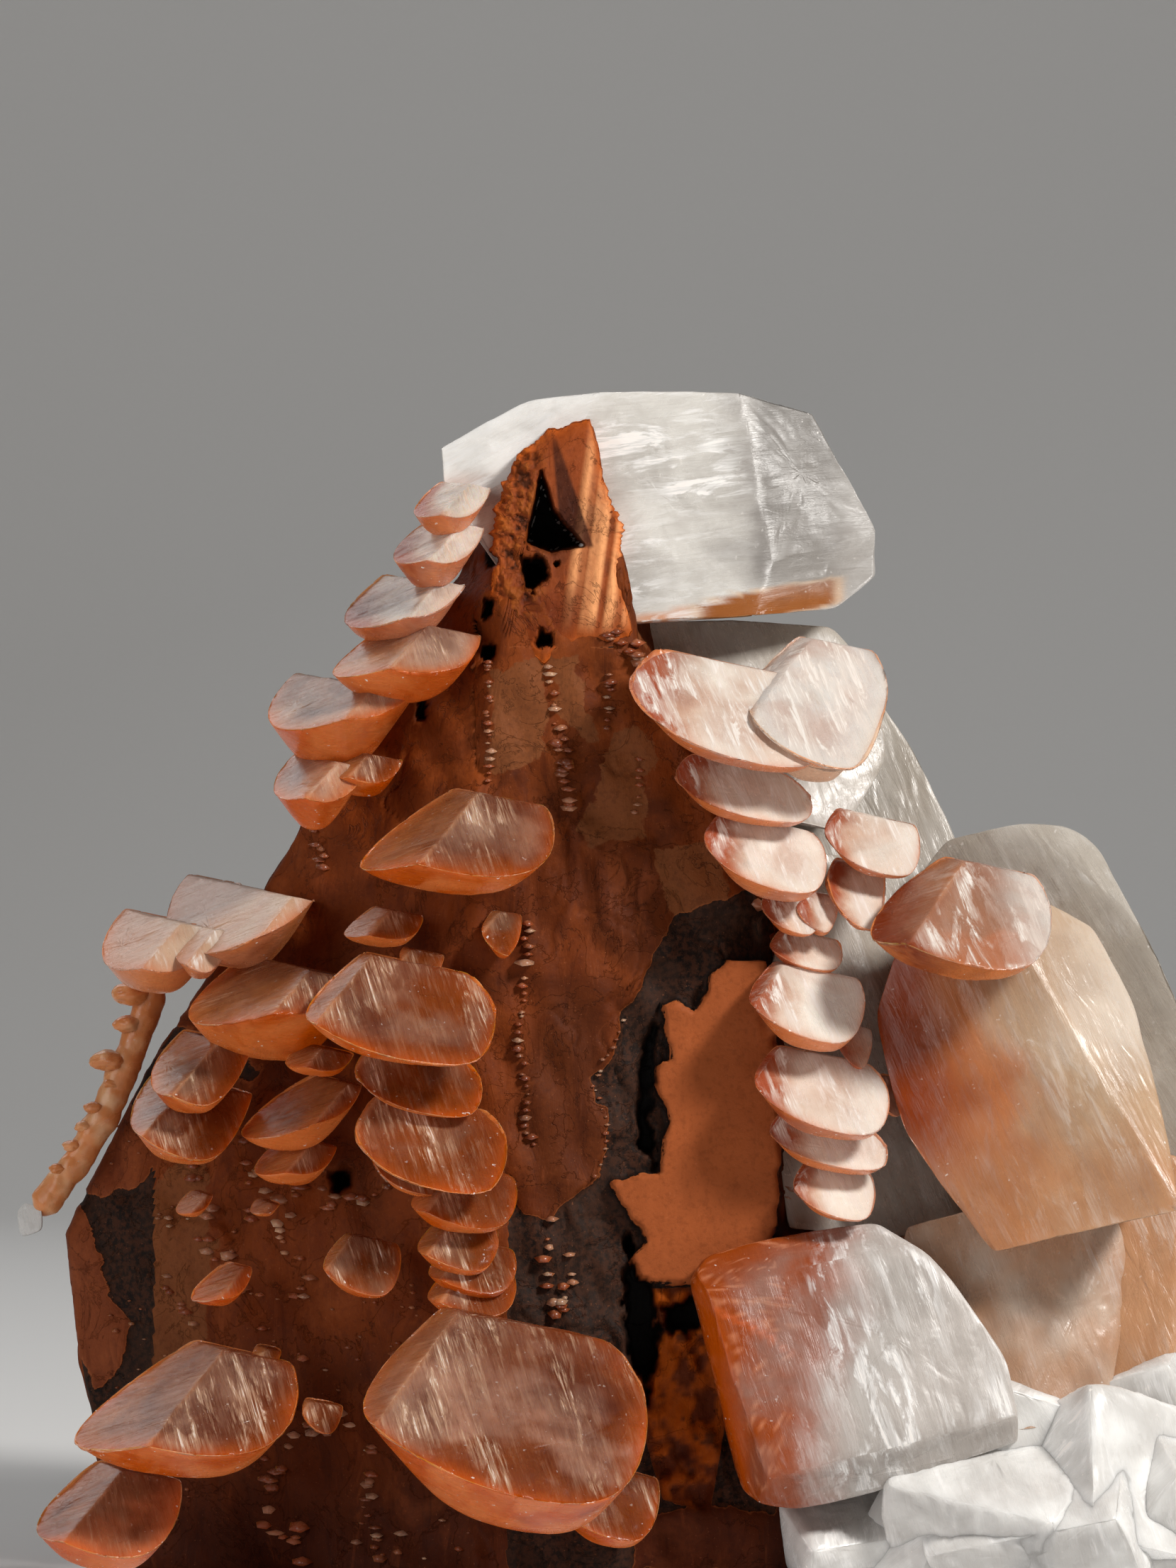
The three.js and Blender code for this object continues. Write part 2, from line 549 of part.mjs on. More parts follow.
function toMesh(name, solid, material) {
  const { vertProperties, triVerts } = solid.getMesh();
  const geometry = new THREE.BufferGeometry();
  geometry.setAttribute('position', new THREE.BufferAttribute(vertProperties, 3));
  geometry.setIndex(new THREE.BufferAttribute(triVerts, 1));
  const mesh = new THREE.Mesh(geometry, material);
  mesh.name = name;
  mesh.position.set(-MIDDLE[0], -MIDDLE[1], 0);
  return mesh;
}

const calcite = (color) => new THREE.MeshStandardMaterial({ color, roughness: 0.25, metalness: 0 });
const SALMON = 0xc67a5c;
const AMBER = 0xc8763c;
const WHITE = 0xe6e4e0;
const GREY = 0xc9c2bb;
const PEACH = 0xd8b193;
const FILM = new THREE.MeshStandardMaterial({ color: 0x6b3d2c, roughness: 0.7, metalness: 0 });

// Crystal bodies in the order in which they take their room: name, blades, blocks, colour.
const BODIES = [
  ['summit_crystal', [], [SUMMIT], WHITE],
  ['upper_left_blades', UPPER_LEFT_BLADES, [], SALMON],
  ['great_left_blade', GREAT_LEFT_BLADE, [], SALMON],
  ['middle_left_blades', MIDDLE_LEFT_BLADES, [], SALMON],
  ['left_shoulder_blades', LEFT_SHOULDER_BLADES, [], GREY],
  ['outer_left_blades', OUTER_LEFT_BLADES, [], SALMON],
  ['tail_blades', TAIL_BLADES, [], SALMON],
  ['wall_blade', WALL_BLADE, [], SALMON],
  ['oval_blade', OVAL_BLADE, [], SALMON],
  ['orange_blade', ORANGE_BLADE, [], AMBER],
  ['small_blade_left', SMALL_BLADES, [], SALMON],
  ['small_blade_right', SMALL_BLADE_RIGHT, [], SALMON],
  ['front_blades', FRONT_BLADES, [], SALMON],
  ['lower_left_blades', LOWER_LEFT_BLADES, [], SALMON],
  ['bottom_left_blade', BOTTOM_LEFT_BLADE, [], SALMON],
  ['upper_right_blades', UPPER_RIGHT_BLADES, [], PEACH],
  ['lower_right_blades', LOWER_RIGHT_BLADES, [], PEACH],
  ['right_shoulder', SHOULDER_BLADE, [SHOULDER, HUMP], AMBER],
  ['lower_right_crystal', [], [LOWER_RIGHT], WHITE],
  ['under_summit_crystal', [], [UNDER_SUMMIT], GREY],
  ['right_middle_crystal', [], [RIGHT_MIDDLE], GREY],
  ['brow_crystal', [], [BROW], GREY],
  ['far_right_crystal', [], [FAR_RIGHT], PEACH],
  ['rear_right_crystal', [], [REAR_RIGHT], GREY],
  ['rib_tip_crystal', [], [RIB_TIP], WHITE],
  ['back_upper_blades', BACK_UPPER_BLADES, [], GREY],
  ['back_lower_blades', BACK_LOWER_BLADES, [], GREY],
];

function crystalMeshes(taken) {
  return BODIES.flatMap(([name, blades, blocks, color]) => {
    const planes = [...blades.map(bladePlanes), ...blocks.map(blockPlanes)];
    const solid = minus(joined(planes.map((set) => crystal(set))), taken);
    taken.push(...planes.map((set) => crystal(set, GAP)));
    return toMeshes(name, aboveFoot(solid), calcite(color));
  });
}

function overlaps(a, b) {
  const [p, q] = [a.boundingBox(), b.boundingBox()];
  return [0, 1, 2].every((k) => p.min[k] < q.max[k] && q.min[k] < p.max[k]);
}

// The foot is cut off flat at height 0.
function aboveFoot(solid) {
  return solid.intersect(toSolid(new THREE.BoxGeometry(...ROOM).translate(0, 0, ROOM[2] / 2)));
}

// Crystals of a body that don't touch are nodes of their own; crumbs left by a cut go.
function toMeshes(name, solid, material) {
  const parts = solid.decompose().filter((part) => part.volume() > CRUMB)
    .sort((a, b) => b.volume() - a.volume());
  return parts.map((part, i) => toMesh(
    parts.length > 1 ? `${name}_${i + 1}` : name, part, material));
}

function minus(solid, taken) {
  const near = taken.filter((other) => overlaps(other, solid));
  return near.length ? solid.subtract(joined(near)) : solid;
}

function blockMeshes(name, blocks, color, taken) {
  const solid = minus(joined(blocks.map((block) => toSolid(boxPart(block)))), taken);
  taken.push(...blocks.map(({ size, ...rest }) => toSolid(boxPart(
    { ...rest, size: size.map((edge) => edge + 2 * GAP) }))));
  return toMeshes(name, aboveFoot(solid), calcite(color));
}

function ribMeshes(taken) {
  const rib = minus(joined(ribParts(0).map(toSolid)), taken);
  taken.push(...ribParts(GAP).map(toSolid));
  return toMeshes('left_rib', rib, calcite(PEACH));
}

function wallMeshes(taken) {
  let wall = toSolid(wallGeometry());
  wall = wall.add(toSolid(sheetGeometry(ORANGE_SHEET, ORANGE_SHEET_FRONT)));
  wall = wall.add(toSolid(sheetGeometry(SUMMIT_FILM, SUMMIT_FILM_FRONT)));
  for (const pit of PITS) wall = wall.subtract(toSolid(pitGeometry(pit)));
  return toMeshes('hematite_wall', aboveFoot(minus(wall, taken)), FILM);
}

export default (() => {
  const object = new THREE.Group();
  const taken = [toSolid(pitGeometry(CAVE))];
  object.add(...crystalMeshes(taken));
  object.add(...blockMeshes('foot_crystals', FOOT_BLOCKS, WHITE, taken));
  object.add(...blockMeshes('rear_foot_crystals', REAR_FOOT_BLOCKS, GREY, taken));
  object.add(...ribMeshes(taken));
  object.add(...wallMeshes(taken));
  return object;
})();
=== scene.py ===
"""Calcite and hematite cluster: crystals on a wall of iron-oxide films, in metres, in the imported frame."""
import math
import bpy
import numpy as np
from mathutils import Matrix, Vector


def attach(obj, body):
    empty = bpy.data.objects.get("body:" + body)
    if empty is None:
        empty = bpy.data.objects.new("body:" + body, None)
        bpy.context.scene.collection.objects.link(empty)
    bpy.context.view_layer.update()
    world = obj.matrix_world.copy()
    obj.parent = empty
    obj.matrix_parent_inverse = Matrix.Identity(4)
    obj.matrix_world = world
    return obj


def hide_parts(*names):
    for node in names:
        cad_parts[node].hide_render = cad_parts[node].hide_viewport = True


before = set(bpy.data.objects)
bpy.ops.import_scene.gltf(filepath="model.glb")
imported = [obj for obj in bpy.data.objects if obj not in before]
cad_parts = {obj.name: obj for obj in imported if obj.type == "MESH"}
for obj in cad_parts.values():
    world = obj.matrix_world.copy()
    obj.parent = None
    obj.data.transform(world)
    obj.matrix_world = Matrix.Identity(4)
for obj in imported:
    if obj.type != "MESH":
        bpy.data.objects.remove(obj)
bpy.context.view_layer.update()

# Places

# Places are in millimetres as seen from the front: x to the right, z up, then the depth y
# behind the upright plane through the wall's front edge.
EYE_AWAY, EYE_HEIGHT = 360.0, 44.0
SEEN_FROM = np.array([0.0, -EYE_AWAY, EYE_HEIGHT])
LOOK_AT = np.array([0.0, 0.0, 56.3])
VIEW_HEIGHT = 110.6
MIDDLE = np.array([3.475, 11.795, 0.0])
MM = 0.001


def seen(points):
    """True places of points given as (x, z, y) as seen: each slides along its line of sight to depth y."""
    points = np.atleast_2d(np.asarray(points, float))
    flat = np.stack([points[:, 0], np.zeros(len(points)), points[:, 1]], 1)
    return SEEN_FROM + (flat - SEEN_FROM) * (1 + points[:, 2] / EYE_AWAY)[:, None]


def as_seen(places):
    """The x and z at which true places are seen from the front: the inverse of seen()."""
    away = 1 + places[..., 1] / EYE_AWAY
    return places[..., 0] / away, EYE_HEIGHT + (places[..., 2] - EYE_HEIGHT) / away


def moved_to_depth(points, depth):
    """Points slid along their lines of sight to new depths y."""
    away = (1 + depth / EYE_AWAY) / (1 + points[..., 1] / EYE_AWAY)
    return SEEN_FROM + (points - SEEN_FROM) * away[..., None]


# Noise
def lattice(ix, iy, iz, seed):
    """Even random numbers from 0 to 1 on whole-number lattice points, by integer hashing."""
    h = (ix * 374761393 + iy * 668265263 + iz * 1440662683 + seed * 97531) & 0xFFFFFFFF
    h = ((h ^ (h >> 13)) * 1274126177) & 0xFFFFFFFF
    return ((h ^ (h >> 16)) & 0xFFFF) / 65535.0


def noise(p, seed=0):
    """Smooth noise from -1 to 1: lattice numbers blended by the cubic 3t^2 - 2t^3 along each axis."""
    cell = np.floor(p).astype(np.int64)
    t = p - cell
    t = t * t * (3 - 2 * t)
    total = 0.0
    for corner in np.ndindex(2, 2, 2):
        x, y, z = (t[..., axis] if far else 1 - t[..., axis] for axis, far in enumerate(corner))
        total = total + x * y * z * lattice(*(cell[..., axis] + far for axis, far in enumerate(corner)), seed)
    return 2 * total - 1


def layered(p, seed=0, layers=4):
    """Noise at doubling frequencies and halving strengths, summed, about -1 to 1."""
    return sum(noise(p * 2.0 ** k, seed + 17 * k) / 2.0 ** k for k in range(layers)) / 1.6


def smooth(low, high, x):
    """0 below low, 1 above high, and the cubic 3t^2 - 2t^3 between."""
    t = np.clip((x - low) / (high - low), 0, 1)
    return t * t * (3 - 2 * t)


def terraces(x, sharp):
    """Flat steps of height 1 with a short ramp between: floor(x) plus the ramp on its last part."""
    whole = np.floor(x)
    return whole + smooth(sharp, 1.0, x - whole)


def along_line(x, z, line):
    """Distance from a run of straight stretches."""
    best = np.full(x.shape, 1e9)
    for (ax, az), (bx, bz) in zip(line[:-1], line[1:]):
        ex, ez = bx - ax, bz - az
        t = np.clip(((x - ax) * ex + (z - az) * ez) / (ex * ex + ez * ez), 0, 1)
        best = np.minimum(best, np.hypot(x - ax - t * ex, z - az - t * ez))
    return best


def depth_inside(x, z, outline):
    """Signed distance in from a closed outline: positive inside, negative outside."""
    closed = list(outline) + [outline[0]]
    odd = np.zeros(x.shape, bool)
    for (ax, az), (bx, bz) in zip(closed[:-1], closed[1:]):
        if az != bz:
            crosses = (az > z) != (bz > z)
            odd ^= crosses & (x < ax + (z - az) * (bx - ax) / (bz - az))
    return along_line(x, z, closed) * np.where(odd, 1, -1)


def inside_any(x, z, outlines):
    """Greatest signed distance in from any of the outlines, never under -6."""
    return np.max([np.full(x.shape, -6.0)] + [depth_inside(x, z, outline) for outline in outlines], 0)


# Colours
def tone(red, green, blue):
    """Linear colour from 0..255 display values."""
    c = np.array([red, green, blue]) / 255.0
    return np.where(c <= 0.04045, c / 12.92, ((c + 0.055) / 1.055) ** 2.4)


def blend(a, b, share):
    """Mixes colours or rows of colours a and b by a share per point."""
    return a * (1 - share[..., None]) + b * share[..., None]


def painted(base, points, *coats):
    """A base colour on every point, and coats blended over it in turn, each a colour and its share."""
    ground = np.broadcast_to(base, points.shape)
    for colour, share in coats:
        ground = blend(ground, colour, share)
    return ground


# Crystals as seen

# Flat crystals of each group: x, z as seen and depth y of the apex, then the reach to the left,
# right, front and back, the thickness, and the finish of that crystal.
BLADES = {
    "upper_left_blades": [
        (-8.4, 77.8, 3.5, 4.2, 1.7, 4, 3.5, 1.7, "cream"),
        (-9, 75, 3, 5, 1.8, 4.6, 4, 2.3, "cream"),
        (-10.4, 71, 2.5, 7.3, 2, 4.6, 7, 1.8, "cream"),
        (-11.3, 67.8, 1, 7.5, 4, 5, 4, 2.5, "pale_salmon"),
        (-15, 63.6, 1, 8, 3.2, 4, 11, 3.4, "pale_salmon"),
        (-15.5, 58.7, 1.5, 3.2, 2.6, 3, 3, 1.5, "salmon"),
        (-17.6, 58.2, 1, 4.8, 2.2, 4.4, 6, 2.6, "pale_salmon"),
    ],
    "great_left_blade": [(-7.75, 56, -3.5, 9.6, 6.4, 7.9, 2.4, 2.2, "salmon")],
    "left_shoulder_blades": [
        (-28.6, 46.8, 4, 6.2, 3, 5.2, 9, 2, "frost"),
        (-26.3, 46.3, 2.5, 3, 1.6, 4.5, 4, 1.2, "frost"),
        (-20.8, 48.6, 2, 9.6, 2.2, 5, 16, 2, "frost"),
    ],
    "middle_left_blades": [
        (-13.9, 47.7, -2.5, 3.8, 2.6, 3, 2, 1, "salmon"),
        (-12.5, 44.9, -3.5, 1, 2.6, 2.6, 2, 0.6, "salmon"),
        (-15.2, 44.6, -5, 5.2, 10, 9.6, 1.6, 1.8, "salmon"),
        (-19.6, 43.4, -3, 9.2, 4.2, 4.4, 8, 3.7, "salmon"),
        (-18.7, 38, -3.5, 3, 2.5, 2.4, 3, 0.8, "salmon"),
        (-14.8, 38.5, -3.5, 2, 8.2, 6.4, 1.2, 1.5, "salmon"),
        (-14.3, 35, -5, 2.4, 9.6, 8.8, 1.6, 1.6, "salmon"),
        (-14.2, 31.6, -3.5, 1.2, 5, 4.8, 1.2, 1.4, "salmon"),
        (-16.9, 35.5, -1.5, 8.2, 1.2, 4.4, 4, 2.3, "salmon"),
        (-19.5, 31.3, -1, 4.4, 2, 3.2, 3, 1.2, "salmon"),
    ],
    "outer_left_blades": [
        (-26, 38.6, 0, 5, 2.4, 6.6, 5, 1.4, "salmon"),
        (-28.2, 35.6, 0.6, 4.2, 4.6, 7.4, 6, 1.3, "salmon"),
    ],
    "tail_blades": [
        (-9, 29.6, -4, 3.8, 4.6, 5.4, 1.6, 1.4, "salmon"),
        (-9.4, 26, -4.5, 2.9, 3.6, 4.6, 1.4, 1.3, "salmon"),
        (-8.4, 24.4, -4, 3.2, 3.9, 4.6, 1.4, 1.2, "salmon"),
        (-8.3, 22.8, -4.5, 3.4, 3.8, 4.6, 1.4, 1.2, "salmon"),
    ],
    "wall_blade": [(-6.2, 47.6, -1, 1.4, 1.9, 4.4, 1.2, 1.2, "salmon")],
    "oval_blade": [(-16.6, 24.8, -3.5, 2.2, 4, 5.2, 1.2, 1.4, "salmon")],
    "orange_blade": [(-24.2, 22.6, 0.5, 4.2, 0.9, 3.4, 2, 1, "amber")],
    "small_blade_left": [(-26.8, 27.6, 3, 2.5, 0.6, 2, 2, 0.6, "salmon")],
    "small_blade_right": [(-22.3, 27.1, 1, 1.8, 0.9, 1.4, 2, 0.5, "salmon")],
    "front_blades": [
        (-9.2, 19.4, -9, 6.6, 14.2, 14.2, 2.2, 6.6, "salmon"),
        (0.6, 8.6, -5.5, 3, 4.9, 6, 2, 2, "salmon"),
    ],
    "lower_left_blades": [
        (-25.7, 16.8, -4, 11.6, 6.4, 9, 3, 3, "salmon"),
        (-22.6, 16.9, -2.5, 1.2, 1.3, 2.4, 2, 0.6, "salmon"),
        (-19.5, 13.2, -5, 0.8, 2.5, 3, 2, 0.7, "salmon"),
    ],
    "bottom_left_blade": [(-32.8, 8.4, -2, 6.2, 4.8, 7.4, 3, 2.6, "rust")],
    "upper_right_blades": [
        (4.4, 66.3, -1, 2, 13.4, 10, 1.6, 3, "cream"),
        (13.8, 62.9, 0.8, 2.4, 5.8, 7, 2, 2.4, "veil"),
        (15.8, 66.9, 3, 5, 6.5, 13.2, 2, 1.8, "veil"),
        (7.2, 58.8, -1, 1.6, 9.4, 5.6, 1, 2.1, "cream"),
        (9.4, 54.5, -1.5, 1.6, 8, 6.6, 1.4, 2.5, "cream"),
        (17.8, 54.8, 1.5, 1.5, 6.2, 6, 1.6, 1.5, "cream"),
        (17.6, 51.3, 1, 1.2, 4, 6.8, 1.6, 1.5, "cream"),
        (13.1, 49.2, -1, 1.2, 3.8, 4.2, 1.2, 1.2, "cream"),
        (15.6, 49, -0.5, 1.2, 2.4, 4, 1.2, 1.2, "cream"),
        (14, 46.3, -0.5, 1.6, 4.4, 3.6, 1.2, 1.2, "cream"),
    ],
    "lower_right_blades": [
        (13.8, 43.9, -2.5, 2.8, 6.2, 6.8, 1.8, 2.4, "cream"),
        (13.5, 38.1, -3, 2.2, 8.4, 7.2, 1.4, 2.4, "cream"),
        (13.8, 33.6, -3, 1.6, 8, 4.6, 1, 2, "cream"),
        (15.8, 30.1, -2.5, 1.8, 5, 5.2, 1.2, 1.4, "cream"),
        (18.3, 39.6, -0.5, 1, 2.1, 4.2, 1, 1, "cream"),
        (20.8, 36.1, -0.5, 1, 2.1, 4, 1, 1, "cream"),
    ],
    "right_shoulder": [(26.6, 51.2, -3, 7.6, 7, 10, 2.2, 2.2, "shoulder")],
    "back_upper_blades": [
        (3, 63, 20, 10, 7, 6, 8, 3, "grey"),
        (-4, 52, 25, 9, 9, 6, 8, 3, "grey"),
    ],
    "back_lower_blades": [
        (6, 40, 26, 9, 11, 7, 8, 4, "grey"),
        (-10, 33, 31, 12, 9, 7, 8, 4, "grey"),
    ],
}

# Block crystals: outline as seen, each edge with the angle at which its side narrows to the rear,
# the depth of the outline, front faces through three points each, the depth of the rear, the finish.
BLOCKS = {
    "summit_crystal": (
        [(-10.4, 77.7, 10), (-10.8, 80.4, 20), (-4.2, 83.9, 20), (1.6, 84.15, 20), (10.8, 84.5, 20),
         (16.2, 83.7, 12), (20.9, 74.6, 8), (20.7, 70.8, 5), (17.4, 68.5, 2), (2.6, 67.6, 28)], 8.4,
        [((0.2, 83.2, 7.2), (2.6, 67.9, 2.6), (13.2, 72.1, 5)),
         ((0.2, 83.2, 7.2), (-10.8, 80.4, 8.8), (-6.9, 76.4, 5.8)),
         ((10.8, 84.5, 8.68), (13.2, 72.1, 5), (20.9, 74.4, 10)),
         ((13.2, 72.1, 5), (20.9, 74.4, 10), (17.4, 68.5, 7))], 24, "white"),
    "under_summit_crystal": (
        [(3.6, 68.2, 12), (13.5, 68.7, 12), (17.75, 68.3, 12), (19.7, 66, 12), (21.6, 61.6, 12),
         (21.6, 57.8, 12), (18, 53, 12), (10, 55, 12), (6, 60, 12)], 8,
        [((3.6, 68.2, 7), (8, 58, 3.4), (19, 67, 11)),
         ((17, 68, 10), (10, 56, 3.4), (21.6, 58, 9))], 20, "clear"),
    "rear_right_crystal": (
        [(14, 66, 12), (20.3, 63.3, 12), (23, 59.6, 12), (24.4, 56.6, 12), (25.6, 53.5, 12),
         (28, 46, 12), (28, 38, 12), (18, 36, 12), (12, 50, 12)], 16,
        [((16, 64, 17), (25, 54, 14), (18, 40, 9))], 29, "clear"),
    "right_middle_crystal": (
        [(14, 52, 12), (19, 52.5, 12), (22.5, 46, 12), (25, 38, 12), (28, 26, 12), (22, 24.5, 12),
         (14.5, 25.5, 12), (12, 40, 12)], 4,
        [((13, 50, 5), (16, 26, 0.5), (23, 38, 4)),
         ((22, 46, 8), (19, 40, 2), (24, 27, 0.5))], 20, "clear"),
    "shoulder": (
        [(20, 40, 12), (21.6, 45.5, 12), (26.4, 51.3, 12), (36.3, 47.1, 12), (39, 41, 12),
         (40.2, 29.6, 12), (40.1, 27.5, 12), (28.8, 24.4, 12), (22.4, 31.8, 12)], -1,
        [((32.3, 42.5, -5), (40.1, 29.8, -9), (28.8, 24.4, -7)),
         ((26.6, 51.3, -2.4), (40.1, 29.8, -9), (38.6, 42.5, 0))], 12, "peach"),
    "hump": (
        [(22, 50, 12), (24.6, 53.4, 12), (30.5, 54.5, 12), (34, 54.25, 12), (36.3, 52.8, 12),
         (38, 50.3, 12), (39.4, 46.5, 12), (41.2, 41.5, 12), (43.4, 36, 12), (44, 32, 12),
         (43, 27.5, 12), (38, 26, 12), (24, 38, 12)], 6,
        [((24.6, 53.4, 6.5), (38.6, 42.5, 1.2), (34, 54.2, 9)),
         ((31, 54.4, 8), (40.8, 41, 3), (43, 29, 0.5))], 20, "clear"),
    "lower_right_crystal": (
        [(6.8, 21.4, 0), (8.2, 23.6, 12), (12, 25, 12), (20.5, 26.6, 12), (24.5, 23.5, 12),
         (29.5, 16, 12), (30.3, 10, 12), (18, 6.2, 12), (14.4, 5.9, 12), (10.3, 7.3, 0)], -5,
        [((6.8, 21.4, -6), (10.2, 7.4, -8.5), (8.4, 20, -8.2)),
         ((8.2, 23.6, -5), (20.5, 26.6, -2), (10.2, 20.6, -8.4)),
         ((8.4, 20, -8.2), (11.3, 7.5, -12), (24, 20, -6)),
         ((14.4, 5.9, -10), (26, 9.6, -8), (15.5, 9, -12))], 6, "snow"),
    "brow_crystal": (
        [(22.5, 26.5, 12), (28.8, 26.8, 12), (37, 28.8, 12), (38.5, 22, 12), (36, 12.5, 12),
         (24, 11, 12), (21.5, 18, 12)], 0,
        [((23, 26, -1.5), (30, 27, -2.2), (28, 12, -5.5)),
         ((30, 27, -2.2), (37, 28.5, 0.5), (34, 13, -4.5))], 10, "smoke"),
    "far_right_crystal": (
        [(35, 29.6, 12), (41, 30.6, 12), (46, 28, 12), (47, 14, 12), (36, 10, 12)], 2,
        [((36, 28, 1), (42, 30, 1), (40, 12, -4)),
         ((42, 30, 1), (46, 28, 5), (45, 12, 0))], 16, "peach"),
    "rib_tip_crystal": (
        [(-40.7, 26.4, 12), (-39.8, 27.4, 12), (-38.3, 26.6, 12), (-38.4, 24.9, 12), (-40, 24.3, 12)], 11,
        [((-40.7, 26.4, 11), (-38.3, 26.6, 10), (-39.4, 24.4, 9.6))], 13, "snow_white"),
}

# Levels of the wall: height, then x and y of its five corners in plan.
WALL_LEVELS = [
    (0, (-34, 12), (-5, -5), (13, -3), (34, 24), (-20, 34)),
    (12, (-36.5, 12), (-6, -4.5), (13, -2.5), (31, 24), (-22, 34)),
    (24, (-38, 13), (-8, -3), (13, -1.5), (27, 22), (-22, 32)),
    (36, (-32, 13), (-11, -1.5), (12, -0.5), (23, 20), (-19, 29)),
    (48, (-24, 11), (-10, -0.5), (11, 0.2), (18, 18), (-13, 26)),
    (58, (-18, 9), (-7.5, 0.3), (8.5, 0.8), (13.5, 16.5), (-9, 23)),
    (66, (-12.5, 7.5), (-6, 0.9), (3.6, 1.3), (6.5, 16), (-6, 21)),
    (75, (-7.2, 7.6), (-4.5, 3.2), (2, 3.3), (3.5, 14), (-3, 18)),
    (79, (-5.2, 7.4), (-3, 4.6), (0.9, 4.7), (3, 12.5), (-2, 15)),
    (82.3, (-1.6, 7.4), (-0.9, 5.8), (0.2, 5.8), (1.2, 9), (-1, 9.5)),
]

# Outlines as seen of the orange sheet and of the film under the summit, and the line of the rib.
ORANGE_SHEET = [(10, 44), (8.7, 43), (8.6, 41.7), (7.5, 40.4), (6.2, 41), (5.1, 40.7), (5.8, 36.9),
    (4.5, 36.6), (4.7, 35.2), (5.6, 33.3), (5.6, 32.1), (5.1, 29), (1.6, 28.3), (2.9, 25.8),
    (4.1, 24.1), (2.8, 22.7), (3.2, 21.4), (9.5, 20.8), (13, 24), (13.5, 34), (12.5, 44)]
SUMMIT_FILM = [(-0.2, 82.2), (-3.1, 81.1), (-5, 79.5), (-5.9, 77.5), (-6.6, 75.2), (-6.8, 72.9),
    (-6.8, 68), (-3.2, 65), (-0.3, 66.2), (1.5, 65.6), (3.2, 67), (2.3, 71), (2.4, 74.6), (1.1, 77.3),
    (0.8, 79.8), (0.15, 82.2)]
RIB_LINE = [(-30.4, 43.2), (-31.3, 39.6), (-32.7, 36), (-34.1, 32.8), (-35.9, 29.8), (-37.6, 27.6),
    (-38.7, 26)]
# Knobs of the rib: x and z as seen, and the radius.
RIB_KNOBS = [(-32.2, 41.5, 1.2), (-32.4, 39.4, 0.85), (-33.8, 36.8, 1.1), (-34.8, 33.5, 0.6),
    (-35.5, 32.2, 0.55), (-36.3, 30.8, 0.6), (-37.3, 29.2, 0.55), (-33.5, 35.2, 0.55)]
# Blocks of the foot: the centre, the size, and the turns about z, x and y in degrees.
FOOT_BLOCKS = [
    ((20, 0, 3), (15, 12, 9), (20, 24, -8)),
    ((28, -4, 5.5), (14, 12, 11), (-25, 30, 12)),
    ((36.5, -3, 6.5), (14, 13, 13), (35, -20, 15)),
    ((40, 3, 9), (12, 13, 16), (-15, 12, -20)),
    ((33, 3, 8.5), (18, 16, 13), (10, 14, 20)),
    ((34, 19, 9), (15, 13, 17), (-30, 12, -14)),
    ((24, 28, 6), (18, 12, 14), (22, -16, 8)),
    ((31, -7, 3.5), (16, 8, 9), (-8, 34, -16)),
    ((41, -4, 5), (11, 9, 12), (12, 28, 24)),
    ((24.5, -3, 2.5), (11, 9, 8), (38, 12, 22)),
]
REAR_FOOT_BLOCKS = [
    ((-6, 33, 5), (20, 11, 12), (12, 14, -6)),
    ((6, 33, 4), (14, 12, 11), (-24, 20, 14)),
    ((-20, 30, 5), (15, 12, 12), (28, -12, 12)),
]


# Meshes
class Shape:
    """Vertices, quads and triangles, with a grain place for every corner and values for every vertex."""

    def __init__(self, points, quads, tris, quad_grain=None, tri_grain=None, **values):
        self.points, self.quads, self.tris = points, quads.reshape(-1, 4), tris.reshape(-1, 3)
        self.quad_grain = np.zeros((len(self.quads), 4, 2)) if quad_grain is None else quad_grain
        self.tri_grain = np.zeros((len(self.tris), 3, 2)) if tri_grain is None else tri_grain
        self.values = values


def join(shapes):
    """One shape from several, left as closed shells that may pass through each other."""
    starts = np.cumsum([0] + [len(s.points) for s in shapes])
    return Shape(
        np.concatenate([s.points for s in shapes]),
        np.concatenate([s.quads + n for s, n in zip(shapes, starts)]),
        np.concatenate([s.tris + n for s, n in zip(shapes, starts)]),
        np.concatenate([s.quad_grain for s in shapes]), np.concatenate([s.tri_grain for s in shapes]),
        **{key: np.concatenate([s.values[key] for s in shapes]) for key in shapes[0].values})


def closed_grid(grid, **values):
    """A closed shape from a grid of rows up and columns round, with a pole at each end.

    The values come on the same grid. The poles take its first and last ones.
    """
    rows, columns = grid.shape[:2]
    index = np.arange(rows * columns).reshape(rows, columns)
    after = np.roll(index, -1, 1)
    quads = np.stack([index[:-1], after[:-1], after[1:], index[1:]], -1)
    foot, top = np.full(columns, index.size), np.full(columns, index.size + 1)
    tris = np.stack([np.stack([foot, after[0], index[0]], -1), np.stack([top, index[-1], after[-1]], -1)])
    places = np.concatenate([grid.reshape(-1, 3), [grid[0].mean(0)], [grid[-1].mean(0)]])
    for key, value in values.items():
        flat = value.reshape((-1,) + value.shape[2:])
        values[key] = np.concatenate([flat, flat[:1], flat[-1:]])
    return Shape(places, quads, tris, **values)


def normals_of(grid):
    """Outward unit normals of a closed grid, from its neighbours' differences."""
    around = np.roll(grid, -1, 1) - np.roll(grid, 1, 1)
    normal = np.cross(around, np.gradient(grid, axis=0))
    return normal / np.maximum(np.linalg.norm(normal, axis=-1), 1e-9)[..., None]


